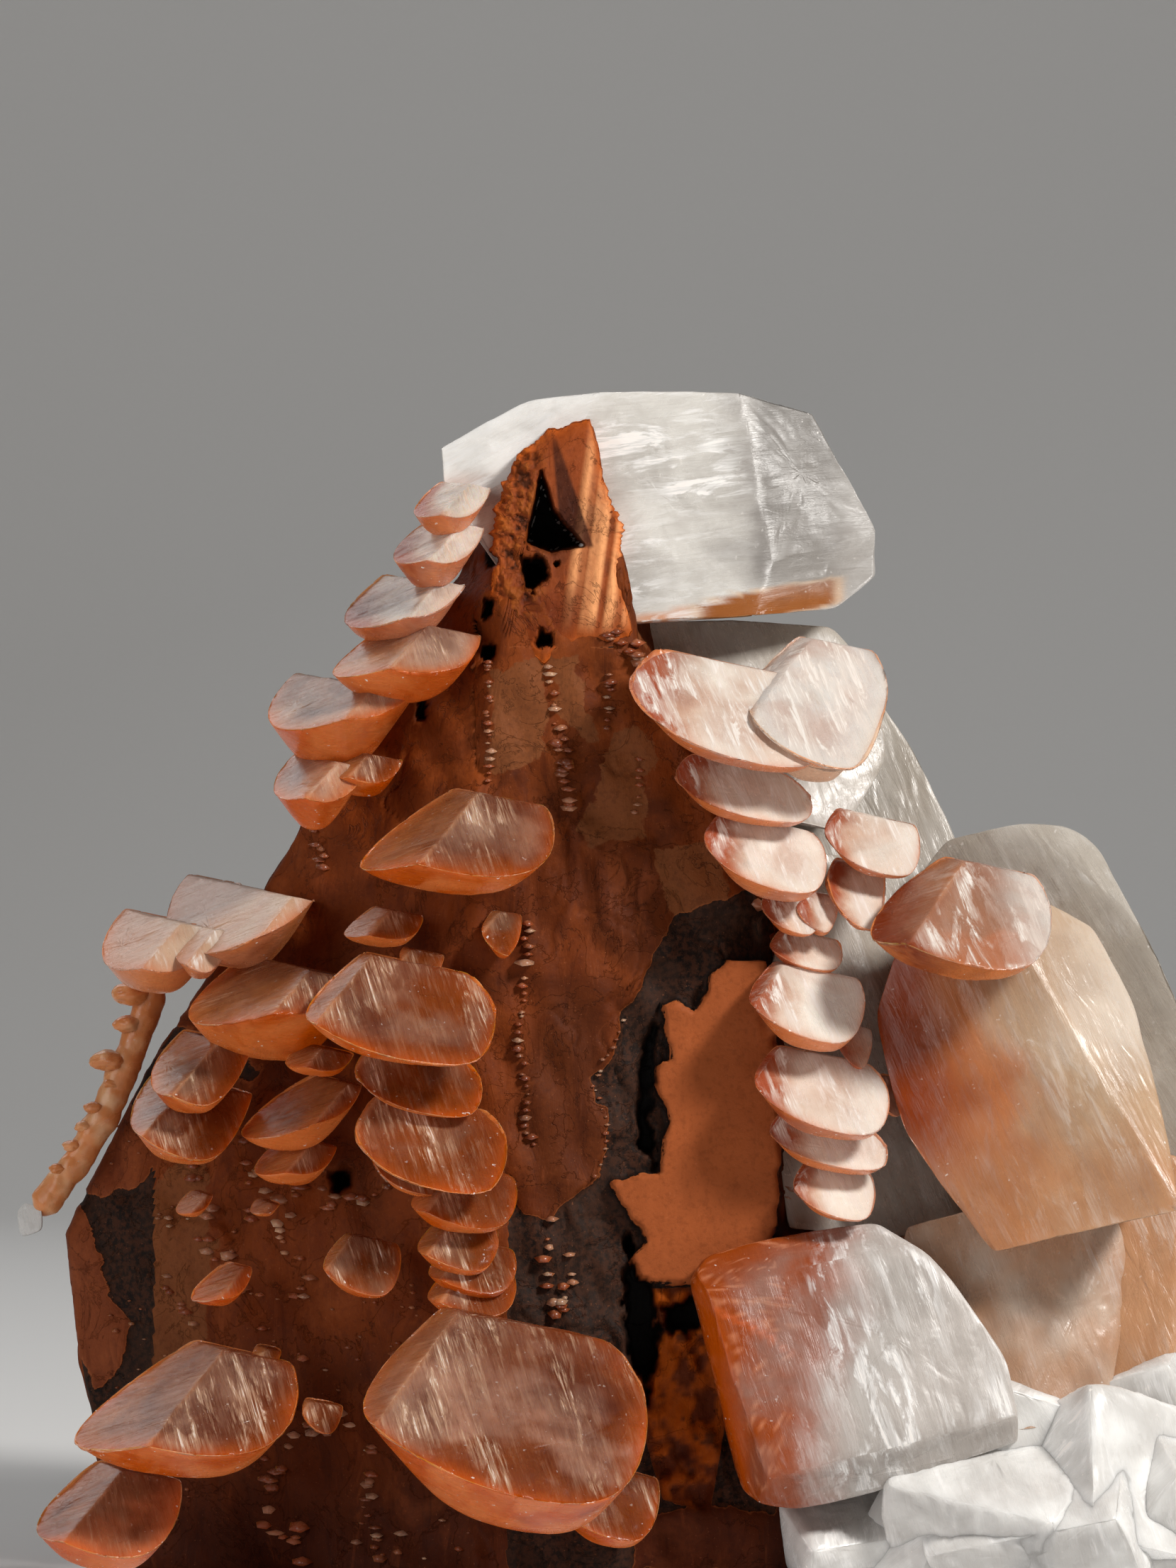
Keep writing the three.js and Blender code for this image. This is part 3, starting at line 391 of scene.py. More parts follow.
def piece(name, shape, material, slot, group=None):
    """A finished piece in metres from a shape in millimetres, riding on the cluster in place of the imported
    nodes of its group: the node of that name, or those with a number after it."""
    mesh = bpy.data.meshes.new(name)
    mesh.vertices.add(len(shape.points))
    mesh.vertices.foreach_set("co", ((shape.points - MIDDLE) * MM).astype(np.float32).ravel())
    corners = np.concatenate([shape.quads.ravel(), shape.tris.ravel()])
    mesh.loops.add(len(corners))
    mesh.loops.foreach_set("vertex_index", corners.astype(np.int32))
    quads, tris = len(shape.quads), len(shape.tris)
    mesh.polygons.add(quads + tris)
    starts = np.concatenate([4 * np.arange(quads), 4 * quads + 3 * np.arange(tris)])
    mesh.polygons.foreach_set("loop_start", starts.astype(np.int32))
    mesh.polygons.foreach_set("use_smooth", np.ones(quads + tris, bool))
    grain = mesh.uv_layers.new(name="Grain")
    places = np.concatenate([shape.quad_grain.reshape(-1, 2), shape.tri_grain.reshape(-1, 2)])
    grain.data.foreach_set("uv", places.astype(np.float32).ravel())
    for key, value in shape.values.items():
        if value.ndim == 2:
            layer = mesh.attributes.new(key, "FLOAT_COLOR", "POINT")
            colours = np.column_stack([value, np.ones(len(value))])
            layer.data.foreach_set("color", colours.astype(np.float32).ravel())
        else:
            layer = mesh.attributes.new(key, "FLOAT", "POINT")
            layer.data.foreach_set("value", value.astype(np.float32))
    mesh.update()
    mesh.validate()
    mesh.materials.append(material)
    body = bpy.data.objects.new(name, mesh)
    bpy.context.collection.objects.link(body)
    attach(body, "root")
    nodes = [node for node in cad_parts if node.rstrip("0123456789").rstrip("_") == group]
    if nodes:
        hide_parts(*nodes)


# Crystal forms
LEAN, CAP_RIDGE, CAP_SLOPE = np.radians([24.0, 27.0, 26.25])
RIM_TILT, UNDER_TURN, GRAIN_TURN = np.radians([30.0, 12.0, 14.0])
CAP_TURNS = np.radians([60.0, -60.0, 180.0])
RIM_SHARE = 0.15
RIM_SIDES = 22
RIM_START = 0.35
ROUGH = 0.16
UP = np.array([0.0, -math.sin(LEAN), math.cos(LEAN)])
FRONT = np.array([0.0, -math.cos(LEAN), -math.sin(LEAN)])
LEFT = np.array([-1.0, 0.0, 0.0])
BACK = np.array([0.0, 1.0, 0.0])
CAP_LEFT, CAP_RIGHT, CAP_BACK, UNDER, RIM = range(5)


def unit(rows):
    """Rows of vectors at length 1."""
    return rows / np.linalg.norm(rows, axis=1)[:, None]


def blade_planes(x, z, y, to_left, to_right, to_front, to_back, thick):
    """Half-spaces n.p < d of a flat crystal: three caps through the apex, three under faces, a leaning rim.

    The rim follows an ellipse inside the reach box: extent(a) = (b.u + |(s.u)|) / 2 with u = (cos a, sin a).
    """
    apex = seen((x, z, y))[0]
    turns = np.concatenate([CAP_RIDGE + CAP_TURNS, UNDER_TURN + np.radians([0, 120, 240]),
                            2 * np.pi * (np.arange(RIM_SIDES) + RIM_START) / RIM_SIDES])
    c, s = np.cos(turns), np.sin(turns)
    out = c[:, None] * FRONT + s[:, None] * LEFT
    extent = ((to_front - to_back) * c + (to_left - to_right) * s
              + np.hypot((to_front + to_back) * c, (to_left + to_right) * s)) / 2
    kinds = np.array([CAP_LEFT, CAP_RIGHT, CAP_BACK] + [UNDER] * 3 + [RIM] * RIM_SIDES)
    facing = np.cos(turns[:, None] - CAP_RIDGE - CAP_TURNS).max(1)
    level, steep = math.cos(CAP_SLOPE), math.tan(CAP_SLOPE)
    rise = np.select([kinds < UNDER, kinds == UNDER], [level, -level], -math.sin(RIM_TILT))
    spread = np.where(kinds == RIM, math.cos(RIM_TILT), math.sin(CAP_SLOPE))
    drop = np.where(kinds == UNDER, steep * extent / 2 + thick, steep * facing * extent + RIM_SHARE * thick)
    normals = rise[:, None] * UP + spread[:, None] * out
    through = np.where((kinds < UNDER)[:, None], apex, apex + out * extent[:, None] - drop[:, None] * UP)
    return normals, (normals * through).sum(1), kinds


def block_planes(outline, depth, faces, rear):
    """Half-spaces of a block: sides through the edges of its outline as seen, narrowing to the rear,
    front faces through three points each, and an upright rear face."""
    outline = np.asarray(outline, float)
    corner = seen(np.column_stack([outline[:, :2], np.full(len(outline), depth)]))
    away = seen(np.column_stack([outline[:, :2], np.full(len(outline), depth + 1)])) - corner
    side = unit(np.cross(np.roll(corner, -1, 0) - corner, away))
    side[(side * (corner - corner.mean(0))).sum(1) < 0] *= -1
    angle = np.radians(outline[:, 2:])
    side = unit(side * np.cos(angle) + BACK * np.sin(angle))
    points = seen(np.asarray(faces, float).reshape(-1, 3)).reshape(-1, 3, 3)
    front = np.cross(points[:, 1] - points[:, 0], points[:, 2] - points[:, 0])
    front = -np.sign(front[:, 1:2]) * unit(front)
    end = seen((outline[0, 0], outline[0, 1], rear))
    normals = np.concatenate([side, front, [BACK]])
    offsets = np.concatenate([(side * corner).sum(1), (front * points[:, 0]).sum(1), end[:, 1]])
    caps = np.where(front[:, 0] < -0.2, CAP_LEFT, CAP_RIGHT)
    return normals, offsets, np.concatenate([np.full(len(side), RIM), caps, [UNDER]])


def box_planes(centre, size, turns):
    """Half-spaces of a box turned about z, then x, then y, and cut off flat at the foot."""
    (ca, cl, cr), (sa, sl, sr) = np.cos(np.radians(turns)), np.sin(np.radians(turns))
    spin = np.array([[ca, -sa, 0], [sa, ca, 0], [0, 0, 1]])
    lean = np.array([[1, 0, 0], [0, cl, -sl], [0, sl, cl]])
    roll = np.array([[cr, 0, sr], [0, 1, 0], [-sr, 0, cr]])
    axes = (spin @ lean @ roll).T
    normals = np.concatenate([axes, -axes, [[0.0, 0.0, -1.0]]])
    offsets = normals @ np.asarray(centre, float) + np.array(list(size) * 2 + [0.0]) / 2
    offsets[-1] = 0.0
    return normals, offsets, np.array([CAP_RIGHT, CAP_LEFT, CAP_RIGHT, RIM, CAP_LEFT, UNDER, UNDER])


def corners_of(normals, offsets):
    """Corner points: every three planes that meet inside all the others, near doubles dropped."""
    count = len(offsets)
    trios = np.array([(a, b, c) for a in range(count) for b in range(a + 1, count)
                      for c in range(b + 1, count)])
    rows, sums = normals[trios], offsets[trios]
    good = np.abs(np.linalg.det(rows)) > 1e-5
    points = np.linalg.solve(rows[good], sums[good][..., None])[..., 0]
    points = points[(points @ normals.T - offsets < 1e-5).all(1)]
    kept = []
    for point in points:
        if all(np.linalg.norm(point - other) > 0.02 for other in kept):
            kept.append(point)
    return np.array(kept)


def facet_mesh(normals, offsets, step, edge_rows=(0.16, 0.06)):
    """Fine mesh of a convex form: every facet is a fan round its middle, its outline repeated at growing
    shares of its size. Rows crowd near the edge, and neighbours share the outline's points."""
    corner = corners_of(normals, offsets)
    points, quads, tris, owner_q, owner_t = [], [], [], [], []
    total = 0
    for face, (normal, offset) in enumerate(zip(normals, offsets)):
        on = np.flatnonzero(np.abs(corner @ normal - offset) < 0.03)
        if len(on) < 3:
            continue
        middle = corner[on].mean(0)
        one = corner[on[0]] - middle
        one /= np.linalg.norm(one)
        turn = np.arctan2((corner[on] - middle) @ np.cross(normal, one), (corner[on] - middle) @ one)
        on = on[np.argsort(turn)]
        ring = []
        for a, b in zip(on, np.roll(on, -1)):
            low, high = min(a, b), max(a, b)
            parts = max(1, int(np.ceil(np.linalg.norm(corner[high] - corner[low]) / step)))
            share = np.linspace(0, 1, parts + 1)[:, None]
            run = corner[low] * (1 - share) + corner[high] * share
            ring.append(run[:-1] if a == low else run[::-1][:-1])
        ring = np.concatenate(ring)
        size = np.linalg.norm(ring - middle, axis=1).mean()
        inner = np.linspace(0, 1, max(2, int(size / step)) + 1)[1:]
        size = max(size, 0.4)
        near = 1 - np.array(edge_rows) / size
        rows = np.concatenate([inner[inner < near[0] - 0.25 * step / size], near, [1.0]])
        grid = middle + rows[:, None, None] * (ring - middle)
        count, width = grid.shape[:2]
        index = total + 1 + np.arange(count * width).reshape(count, width)
        after = np.roll(index, -1, 1)
        points += [middle[None], grid.reshape(-1, 3)]
        quads.append(np.stack([index[:-1], index[1:], after[1:], after[:-1]], -1).reshape(-1, 4))
        tris.append(np.stack([np.full(width, total), index[0], after[0]], -1))
        owner_q.append(np.full(len(quads[-1]), face))
        owner_t.append(np.full(width, face))
        total += 1 + count * width
    points = np.concatenate(points)
    keys = np.round(points / 2e-4).astype(np.int64)
    _, first, same = np.unique(keys, axis=0, return_index=True, return_inverse=True)
    same = same.ravel()
    return (points[first], same[np.concatenate(quads)], same[np.concatenate(tris)],
            np.concatenate(owner_q), np.concatenate(owner_t))


def grain_axes(normals, kinds, slope=None):
    """Across and along directions of the striations on every face: nearly down the caps, level on the rim;
    on a block they keep the given slope as seen from the front."""
    if slope is None:
        down = -UP + (normals @ UP)[:, None] * normals
        down = math.cos(GRAIN_TURN) * down - math.sin(GRAIN_TURN) * np.cross(normals, down)
    else:
        line = np.where((kinds == CAP_LEFT)[:, None], slope[1], slope[0])
        run = np.stack([line[:, 0], np.zeros(len(line)), line[:, 1]], 1)
        facing = np.where(np.abs(normals[:, 1]) < 0.2, 0.2, normals[:, 1])
        run[:, 1] = -(run * normals).sum(1) / facing
        down = run - (run * normals).sum(1)[:, None] * normals
    down /= np.maximum(np.linalg.norm(down, axis=1), 1e-6)[:, None]
    across = np.cross(normals, down)
    level = (kinds == RIM)[:, None]
    return np.where(level, down, across), np.where(level, across, down)


class Facts:
    """What is known of every point of a crystal: its share of each kind of face, its place on the grain,
    its distance in from the rim, its place as seen, and its place before the steps were added."""

    def __init__(self, kind, u, v, from_rim, x, z, flat):
        self.kind, self.u, self.v, self.from_rim = kind, u, v, from_rim
        self.x, self.z, self.flat = x, z, flat


def blended(gap, sharp):
    """Share of each plane in the smooth maximum log(sum(exp(w gap))) / w of the gaps, and that maximum."""
    top = gap.max(1, keepdims=True)
    grown = np.exp(sharp * (gap - top))
    total = grown.sum(1, keepdims=True)
    return grown / total, top[:, 0] + np.log(total[:, 0]) / sharp


def stepped(u, v, face, kind, seed):
    """Growth steps of one face on its grain: terraces of layered noise, finer lines on the caps."""
    spot = np.stack([u * 0.42, v * 0.16, np.full(u.shape, 7.3 * face + seed)], 1)
    if kind == RIM:
        return 0.35 * (terraces(2.2 * layered(spot * [1, 4, 1], seed, 3), 0.7) - 0.5)
    fine = np.stack([u * 2.6, v * 0.35, np.full(u.shape, 3.1 * face + seed)], 1)
    return 0.8 * (terraces(2.6 * layered(spot, seed, 4), 0.86) - 0.5) + 0.35 * noise(fine, seed)


def crystal(planes, step, rough, seed, slope=None, round_off=9.0, swell=0.9):
    """Closed fine surface of one crystal, and the facts of its points.

    Its edges are rounded by drawing the points onto log(sum(exp(w(n.p - d)))) / w = 0, with a small w among
    the rim and under faces of a flat crystal, for a round outline, and a large w elsewhere. Growth steps
    and waves then move them along the normal.
    """
    normals, offsets, kinds = planes
    points, quads, tris, owner_q, owner_t = facet_mesh(normals, offsets, step)
    flat = points.copy()
    across, along = grain_axes(normals, kinds, slope)
    soft = kinds >= UNDER if slope is None else np.zeros(len(kinds), bool)
    softness = min(round_off, 24.0 / max(2.0, np.ptp(points[:, 0])))

    def shares(p):
        gap = p @ normals.T - offsets
        if not soft.any():
            return blended(gap, round_off)
        inner, edge = blended(gap[:, soft] - 0.8 / softness, softness)
        outer, field = blended(np.column_stack([gap[:, ~soft], edge]), round_off)
        weight = np.zeros(gap.shape)
        weight[:, ~soft] = outer[:, :-1]
        weight[:, soft] = outer[:, -1:] * inner
        return weight, field

    for _ in range(3):
        weight, field = shares(points)
        push = weight @ normals
        points = points - push * (field / (push ** 2).sum(1))[:, None]
    weight, _ = shares(points)
    rise = np.zeros(len(points))
    for face, kind in enumerate(kinds):
        mine = weight[:, face] > 0.02
        if mine.any():
            bump = stepped(flat[mine] @ across[face], flat[mine] @ along[face], face, kind, seed)
            rise[mine] += weight[mine, face] * bump
    rise -= rise.max()
    wave = layered(points / 7.0, seed + 5, 3) - 1
    points = points + unit(weight @ normals) * (rough * (0.4 * rise + swell * wave))[:, None]
    grain = [np.stack([(flat[faces] * axis[owner][:, None]).sum(-1) for axis in (across, along)], -1)
             for faces, owner in ((quads, owner_q), (tris, owner_t))]
    by_kind = np.stack([weight[:, kinds == kind].sum(1) for kind in range(5)], 1)
    u, v = ((weight * (flat @ axis.T)).sum(1) for axis in (across, along))
    rim = kinds >= UNDER
    from_rim = -(flat @ normals[rim].T - offsets[rim]).max(1)
    return Shape(points, quads, tris, *grain), Facts(by_kind, u, v, from_rim, *as_seen(points), flat)


# Finishes

# Each takes what is known of every point of a crystal (share of each kind of face, distance in from the
# rim, place as seen) and gives its colour and how silky it is. Some colours hold painted glow and
# painted highlights, marked where they lie; the silk is partly painted sheen.
SALMON, ROSE, ORANGE = tone(190, 124, 74), tone(122, 58, 14), tone(206, 88, 0)
EMBER, VIOLET, SILVER = tone(132, 44, 0), tone(120, 84, 62), tone(196, 174, 150)
CREAM, MILK, BEIGE = tone(200, 156, 122), tone(212, 209, 203), tone(190, 160, 130)
PEACH, MIST, RUST = tone(180, 112, 70), tone(180, 168, 156), tone(190, 120, 84)
# The second and third colours on the next line are painted highlights on the blades: beside the ridge and
# along it.
HAZE, SILVER_HIGHLIGHT, RIDGE_HIGHLIGHT = tone(176, 132, 110), tone(186, 154, 132), tone(214, 160, 122)
TOP_BROWN, DARK_PINK, WHITE_SILK = tone(96, 46, 26), tone(156, 66, 34), tone(240, 236, 226)


def rim_glow(f, wide, seed=3):
    """1 on the rim and under faces, fading over a wavy band of the given width on the caps: the share of
    the orange rim, partly the crystal's own colour and partly painted glow of light through the thin edge.
    """
    wavy = f.from_rim + 0.45 * wide * layered(f.flat / 2.6, seed, 3)
    fading = np.exp(-np.clip(wavy, 0, None) / wide)
    return np.clip(fading + f.kind[:, UNDER] + 0.7 * f.kind[:, RIM], 0, 1)


def silky_patches(f, seed, share=0.0):
    """Long patches where the streaks lie close: layered noise drawn out along the grain."""
    spot = np.stack([f.u * 0.42, f.v * 0.14, np.full(f.u.shape, 1.7 * seed)], 1)
    return smooth(0.0 - share, 0.5 - share, layered(spot, seed + 2, 3))


def blade_colour(f, seed, core, edge, wide, shine):
    """Hazy on the left cap, core colour with grey violet depths on the right one, orange at the rim and
    below, partly painted glow. Painted highlights lie along the ridge and in a silver band beside it.
    The silk lies in long patches, thicker away from the rim and beside the ridge."""
    left, right, back, under = (f.kind[:, kind] for kind in (CAP_LEFT, CAP_RIGHT, CAP_BACK, UNDER))
    across = np.ptp(f.x)
    wide = wide * np.clip(across / 11, 0.3, 1.3)
    patch = silky_patches(f, seed)
    depth = smooth(0.0, 0.5, layered(f.flat / [3.2, 3.2, 2.6], seed, 3) + (f.from_rim - 2.0) / 6)
    big = smooth(10, 18, across)
    hazy = left * (1 - 0.3 * depth) * (1 - 0.35 * big)
    both = (left > 0.2) & (right > 0.2)
    slant, start = np.polyfit(f.z[both], f.x[both], 1)
    off = (f.x - start - slant * f.z) / across + 0.06 * layered(f.flat / 2.0, seed + 8, 3)
    # A painted highlight: a silver band on the right cap beside the ridge, in the silky patches; it also
    # raises the silk there.
    near = right * smooth(0.42, 0.1, off) * smooth(0.2, 1.4, f.from_rim)
    # A painted highlight: a pale line along the ridge between the left and right caps.
    ridge = smooth(0.35, 1.0, 4 * left * right)
    rise = (f.z - f.z.min()) / np.ptp(f.z) + 0.12 * layered(f.flat / 1.6, seed + 6, 3)
    high = smooth(0.55, 1.0, rise)
    # The orange rim is partly the crystal's own colour, partly painted glow of light through the thin edge,
    # faded towards the top of the blade.
    glow = rim_glow(f, wide, seed) * (1 - 0.75 * high)
    stain = smooth(0.15, 0.8, layered(f.flat / 2.3, seed + 9, 3)) * glow
    ground = painted(core, f.flat, (VIOLET * (1 - big) + HAZE * big, 0.8 * depth), (SALMON, 0.92 * hazy),
                     (SILVER_HIGHLIGHT, shine * 0.55 * near * (0.3 + 0.7 * patch)), (RIDGE_HIGHLIGHT, 0.55 * ridge),
                     (TOP_BROWN, 0.6 * high * (1 - 0.5 * left)), (edge, 0.82 * glow), (EMBER, 0.55 * stain))
    silk = shine * (0.95 * right + 0.4 * left + 0.5 * back + 0.25 * under)
    return ground, (silk * (0.15 + 0.85 * patch) + 0.6 * shine * near) * (1 - 0.8 * glow)


def salmon(f, seed):
    """Deep rose with a narrow orange rim."""
    return blade_colour(f, seed, ROSE, ORANGE, 0.75, 1.1)


def pale_salmon(f, seed):
    """Salmon with the pale haze of the thin upper blades."""
    ground, silk = blade_colour(f, seed, tone(182, 116, 74), ORANGE, 0.8, 0.9)
    patch = 0.35 + 0.65 * silky_patches(f, seed + 4, 0.2)
    pale = f.kind[:, :3].sum(1) * smooth(0.2, 1.8, f.from_rim) * patch
    return blend(ground, tone(214, 182, 160), 0.8 * pale), silk


def rust(f, seed):
    """Rust pink with a broad orange rim."""
    return blade_colour(f, seed, RUST, ORANGE, 1.6, 0.7)


def amber(f, seed):
    """Orange all over, little silk."""
    return blade_colour(f, seed, tone(196, 100, 44), tone(222, 96, 16), 1.8, 0.5)


def frost(f, seed):
    """Grey-beige caps with pale streaks, salmon at the left end of the outer ones and below."""
    ground, silk = blade_colour(f, seed, SILVER, tone(206, 112, 58), 1.3, 0.6)
    pale = f.kind[:, :3].sum(1) * smooth(0.3, 2.2, f.from_rim)
    left = smooth(-20, -27, f.x) * smooth(0.8, 0.2, (f.x - f.x.min()) / np.ptp(f.x))
    return blend(blend(ground, SILVER, 0.8 * pale), tone(190, 122, 84), 0.55 * left), silk


def cream(f, seed):
    """Dark pink at the left end, white and silky in the middle, an orange lower rim."""
    ground, silk = blade_colour(f, seed, CREAM, tone(196, 92, 20), 0.9, 1.0)
    start, across = f.x.min(), np.ptp(f.x)
    run = (f.x - start + 0.9 * layered(f.flat / 1.5, seed, 3)) / max(2.6, 0.42 * across)
    pale = smooth(0.35, 1.1, run) * (1 - 0.9 * rim_glow(f, 0.5, seed))
    ground = blend(ground, DARK_PINK, 0.92 * (1 - smooth(0.2, 0.9, run)) * (1 - f.kind[:, UNDER]))
    patch = 0.75 + 0.25 * silky_patches(f, seed + 3, 0.3)
    return blend(ground, WHITE_SILK, 0.98 * pale * patch), np.maximum(silk, 0.75 * pale)


def veil(f, seed):
    """White and silky all over, its lower rim peach."""
    ground, silk = blade_colour(f, seed, tone(214, 208, 200), tone(218, 172, 136), 0.3, 0.9)
    pale = smooth(0.1, 1.4, f.from_rim)
    return blend(ground, tone(220, 218, 214), 0.95 * pale), np.maximum(silk, 0.7 * pale)


def shoulder(f, seed):
    """Left faces deep orange, the front pink, its right edge white and silky."""
    ground, silk = blade_colour(f, seed, tone(172, 108, 76), tone(184, 104, 50), 0.4, 0.6)
    cloud = layered(f.flat / 2, seed, 3)
    right = smooth(28.5, 33, f.x + 0.35 * (f.z - 45) + cloud)
    left = 1 - smooth(22.0, 26.5, f.x + cloud)
    ground = blend(blend(ground, tone(122, 40, 0), 0.97 * left), MILK, 0.8 * right)
    return ground, (silk + 0.4 * right) * (1 - 0.9 * left)


def peach(f, seed):
    """Deep orange on the left, pale beige on the right, whitish high up and tan low down."""
    cloud = layered(f.flat / 5, seed, 3)
    run = smooth(22, 36, f.x + 3.5 * cloud + 0.2 * (f.z - 35))
    high = smooth(30, 38, f.x) * smooth(33, 40, f.z + 2 * cloud)
    low = smooth(34, 27, f.z + 3 * cloud)
    ground = painted(tone(136, 52, 0), f.flat, (PEACH, smooth(0, 0.45, run)), (BEIGE, smooth(0.4, 0.9, run)),
                     (tone(222, 212, 200), 0.7 * high), (tone(190, 134, 92), 0.7 * low))
    return ground, 0.35 * run * silky_patches(f, seed, 0.2)


def clear(f, seed):
    """Greyish, milky and clear by turns, a little warmer in places."""
    cloud = smooth(-0.6, 0.9, layered(f.flat / [3, 3, 5], seed, 4))
    warm = smooth(0.2, 1.0, layered(f.flat / 6 + 3, seed, 3))
    ground = painted(tone(184, 175, 163), f.flat, (tone(216, 210, 201), cloud),
                     (tone(190, 148, 114), 0.25 * warm))
    return ground, 0.5 * silky_patches(f, seed, 0.1)


def white(f, seed):
    """White and silky on the left, greyish to the right, orange along the lower edge."""
    cloud = layered(f.flat / [3.5, 3.5, 3.5], seed, 4)
    grey = smooth(8, 12.5, f.x + 3 * cloud)
    # Darker grey on the facet right of the ridge, high up: partly more transparent glass, partly painted
    # shade that tones down that lit facet.
    clearer_and_shaded = smooth(11, 12.6, f.x + 0.5 * cloud) * smooth(19.0, 16.5, f.x) * smooth(69, 72, f.z)
    edge = 67.4 + 0.1 * np.clip(f.x - 2, 0, None)
    below = smooth(0.9, 0.2, f.z - edge + 0.9 * cloud) * smooth(9, 6, f.x)
    lens = smooth(1.15, 0.55, np.abs(f.z - (68.3 + 0.2 * (f.x - 9))) + 0.35 * cloud)
    lens = lens * smooth(6.4, 9, f.x) * smooth(18.6, 16.6, f.x)
    tip = smooth(2.5, 0.0, np.hypot((f.x + 8) / 2.5, f.z - 76.6) + cloud)
    ground = painted(MILK, f.flat, (tone(250, 248, 244), f.kind[:, CAP_LEFT]),
                     (tone(166, 162, 158), 0.95 * grey), (tone(112, 108, 104), 0.75 * clearer_and_shaded),
                     (tone(206, 130, 74), 0.8 * below),
                     (tone(214, 176, 140), 0.7 * smooth(0, 0.4, lens)),
                     (tone(150, 84, 26), 0.95 * smooth(0.4, 0.9, lens)), (tone(206, 130, 92), 0.55 * tip))
    silk = (0.95 - 0.85 * grey) * (0.25 + 0.75 * silky_patches(f, seed, 0.15))
    return ground, silk * (1 - lens) * (1 - 0.8 * clearer_and_shaded)


def snow(f, seed):
    """Vivid orange narrow left face, then pinkish orange with a crack line, then white and milky."""
    cloud = layered(f.flat / [2.5, 2.5, 4.0], seed, 4)
    run = f.x + 2.2 * cloud + 0.12 * (20 - f.z)
    lines = np.abs(layered(f.flat * [0.35, 0.35, 1.6], seed + 4, 3))
    cracked = smooth(0.1, 0.0, lines) * (1 - smooth(13, 15.5, run))
    crack = smooth(0.35, 0.05, np.abs(f.z - (19.8 - 0.62 * (f.x - 8.4)) + 0.5 * cloud))
    ground = painted(tone(150, 66, 18), f.flat, (tone(190, 183, 177), smooth(15.0, 20.5, run)),
                     (tone(226, 150, 110), 0.5 * cracked),
                     (ORANGE, 0.85 * f.kind[:, CAP_LEFT] * (1 - smooth(10.5, 12, f.x))),
                     (tone(196, 92, 40), 0.9 * crack * (1 - smooth(13.5, 15.5, f.x))))
    return ground, 0.9 * smooth(13.6, 18, run) * (0.2 + 0.8 * silky_patches(f, seed, 0.1))


def snow_white(f, seed):
    """Milky white with greyer veils."""
    cloud = smooth(-0.5, 0.9, layered(f.flat / 3.0, seed, 4))
    ground = painted(tone(206, 204, 201), f.flat, (tone(240, 240, 238), cloud))
    return ground, 0.7 * silky_patches(f, seed, 0.1)


def smoke(f, seed):
    """Grey-brown and clear, with pale clouds."""
    cloud = smooth(-0.5, 0.9, layered(f.flat / 2.5, seed, 4))
    ground = painted(tone(196, 152, 120), f.flat, (tone(214, 190, 170), cloud))
    return ground, 0.3 * silky_patches(f, seed)


def grey(f, seed):
    """Misty grey with a faint peach rim."""
    return blade_colour(f, seed, MIST, tone(206, 150, 116), 0.8, 0.6)


FINISHES = {look.__name__: look for look in (salmon, pale_salmon, veil, rust, amber, frost, cream, shoulder,
                                             peach, clear, white, snow, smoke, grey, snow_white)}


def coloured(shape, facts, finish, seed):
    """The shape with its Ground colour, Silk share and the share Lit through from behind on every point,
    which the calcite materials paint as a glow.
    """
    ground, silk = FINISHES[finish](facts, seed)
    # Lit is the share of painted glow: full on the under faces, most of the rim, and a little on the caps
    # near the rim.
    lit = facts.kind[:, UNDER] + 0.6 * facts.kind[:, RIM] + 0.25 * np.exp(-facts.from_rim / 0.8)
    shape.values = {"Ground": np.clip(ground, 0, 1), "Silk": np.clip(silk, 0, 1), "Rim": facts.from_rim,
                    "Lit": np.clip(lit, 0, 1)}
    return shape


def blade(row, seed):
    """One flat crystal, finer where it is small."""
    *reach, finish = row
    step = float(np.clip((row[3] + row[4]) / 30, 0.17, 0.42))
    return coloured(*crystal(blade_planes(*reach), step, ROUGH, seed), finish, seed)


# Wall of films
SIDE_COLUMNS = [128, 124, 22, 26, 20]
FRONT_COLUMNS = sum(SIDE_COLUMNS[:2])
WALL_ROWS = 304
CAVE = [(-3.3, 78.4), (-2.4, 75.6), (-0.4, 73.2), (-2.6, 72.6), (-4.4, 73.4)]
CAVE_BOTTOM = 9.3
PITS = [([(-4.9, 72.6), (-3, 72.4), (-2.2, 71.9), (-3.4, 70.6), (-3.7, 69.4), (-4.8, 70.2)], 5),
        ([(-3.3, 67), (-2.5, 66.9), (-2.6, 66.1), (-3.4, 66.2)], 3),
        ([(5, 19.6), (8.6, 20.6), (9.4, 18.2), (6, 17.6)], 1),
        ([(2.9, 24.5), (2.3, 19), (3.9, 13), (5.2, 18)], 0.5),
        ([(-18.4, 28.8), (-17, 29.6), (-16.6, 28), (-17.8, 27.6)], 6),
        ([(3.6, 36.6), (5, 40.6), (4.4, 33), (4.8, 29.4), (3.4, 31)], 0.8)]
FILM_PITS = [([(-7.3, 72.9), (-6.6, 72.9), (-6.5, 71.9), (-7.1, 71.7)], 5),
             ([(-7.4, 69.4), (-6.8, 69.4), (-6.8, 68.4), (-7.3, 68.3)], 5),
             ([(-7.4, 66.1), (-6.6, 65.9), (-6.7, 64.8), (-7.3, 64.9)], 5),
             ([(-12.1, 62.6), (-11.3, 62.2), (-11.5, 60.9), (-12.1, 61.1)], 6)]
FILM, CHOCOLATE, CHARCOAL, DEEP_BROWN = tone(118, 54, 17), tone(84, 36, 9), tone(28, 19, 13), tone(60, 26, 9)
# The third colour on the next line is that of a painted shadow on the wall's front.
SHEET_RED, OCHRE, PLUM_SHADOW = tone(146, 70, 24), tone(170, 80, 10), tone(86, 40, 15)
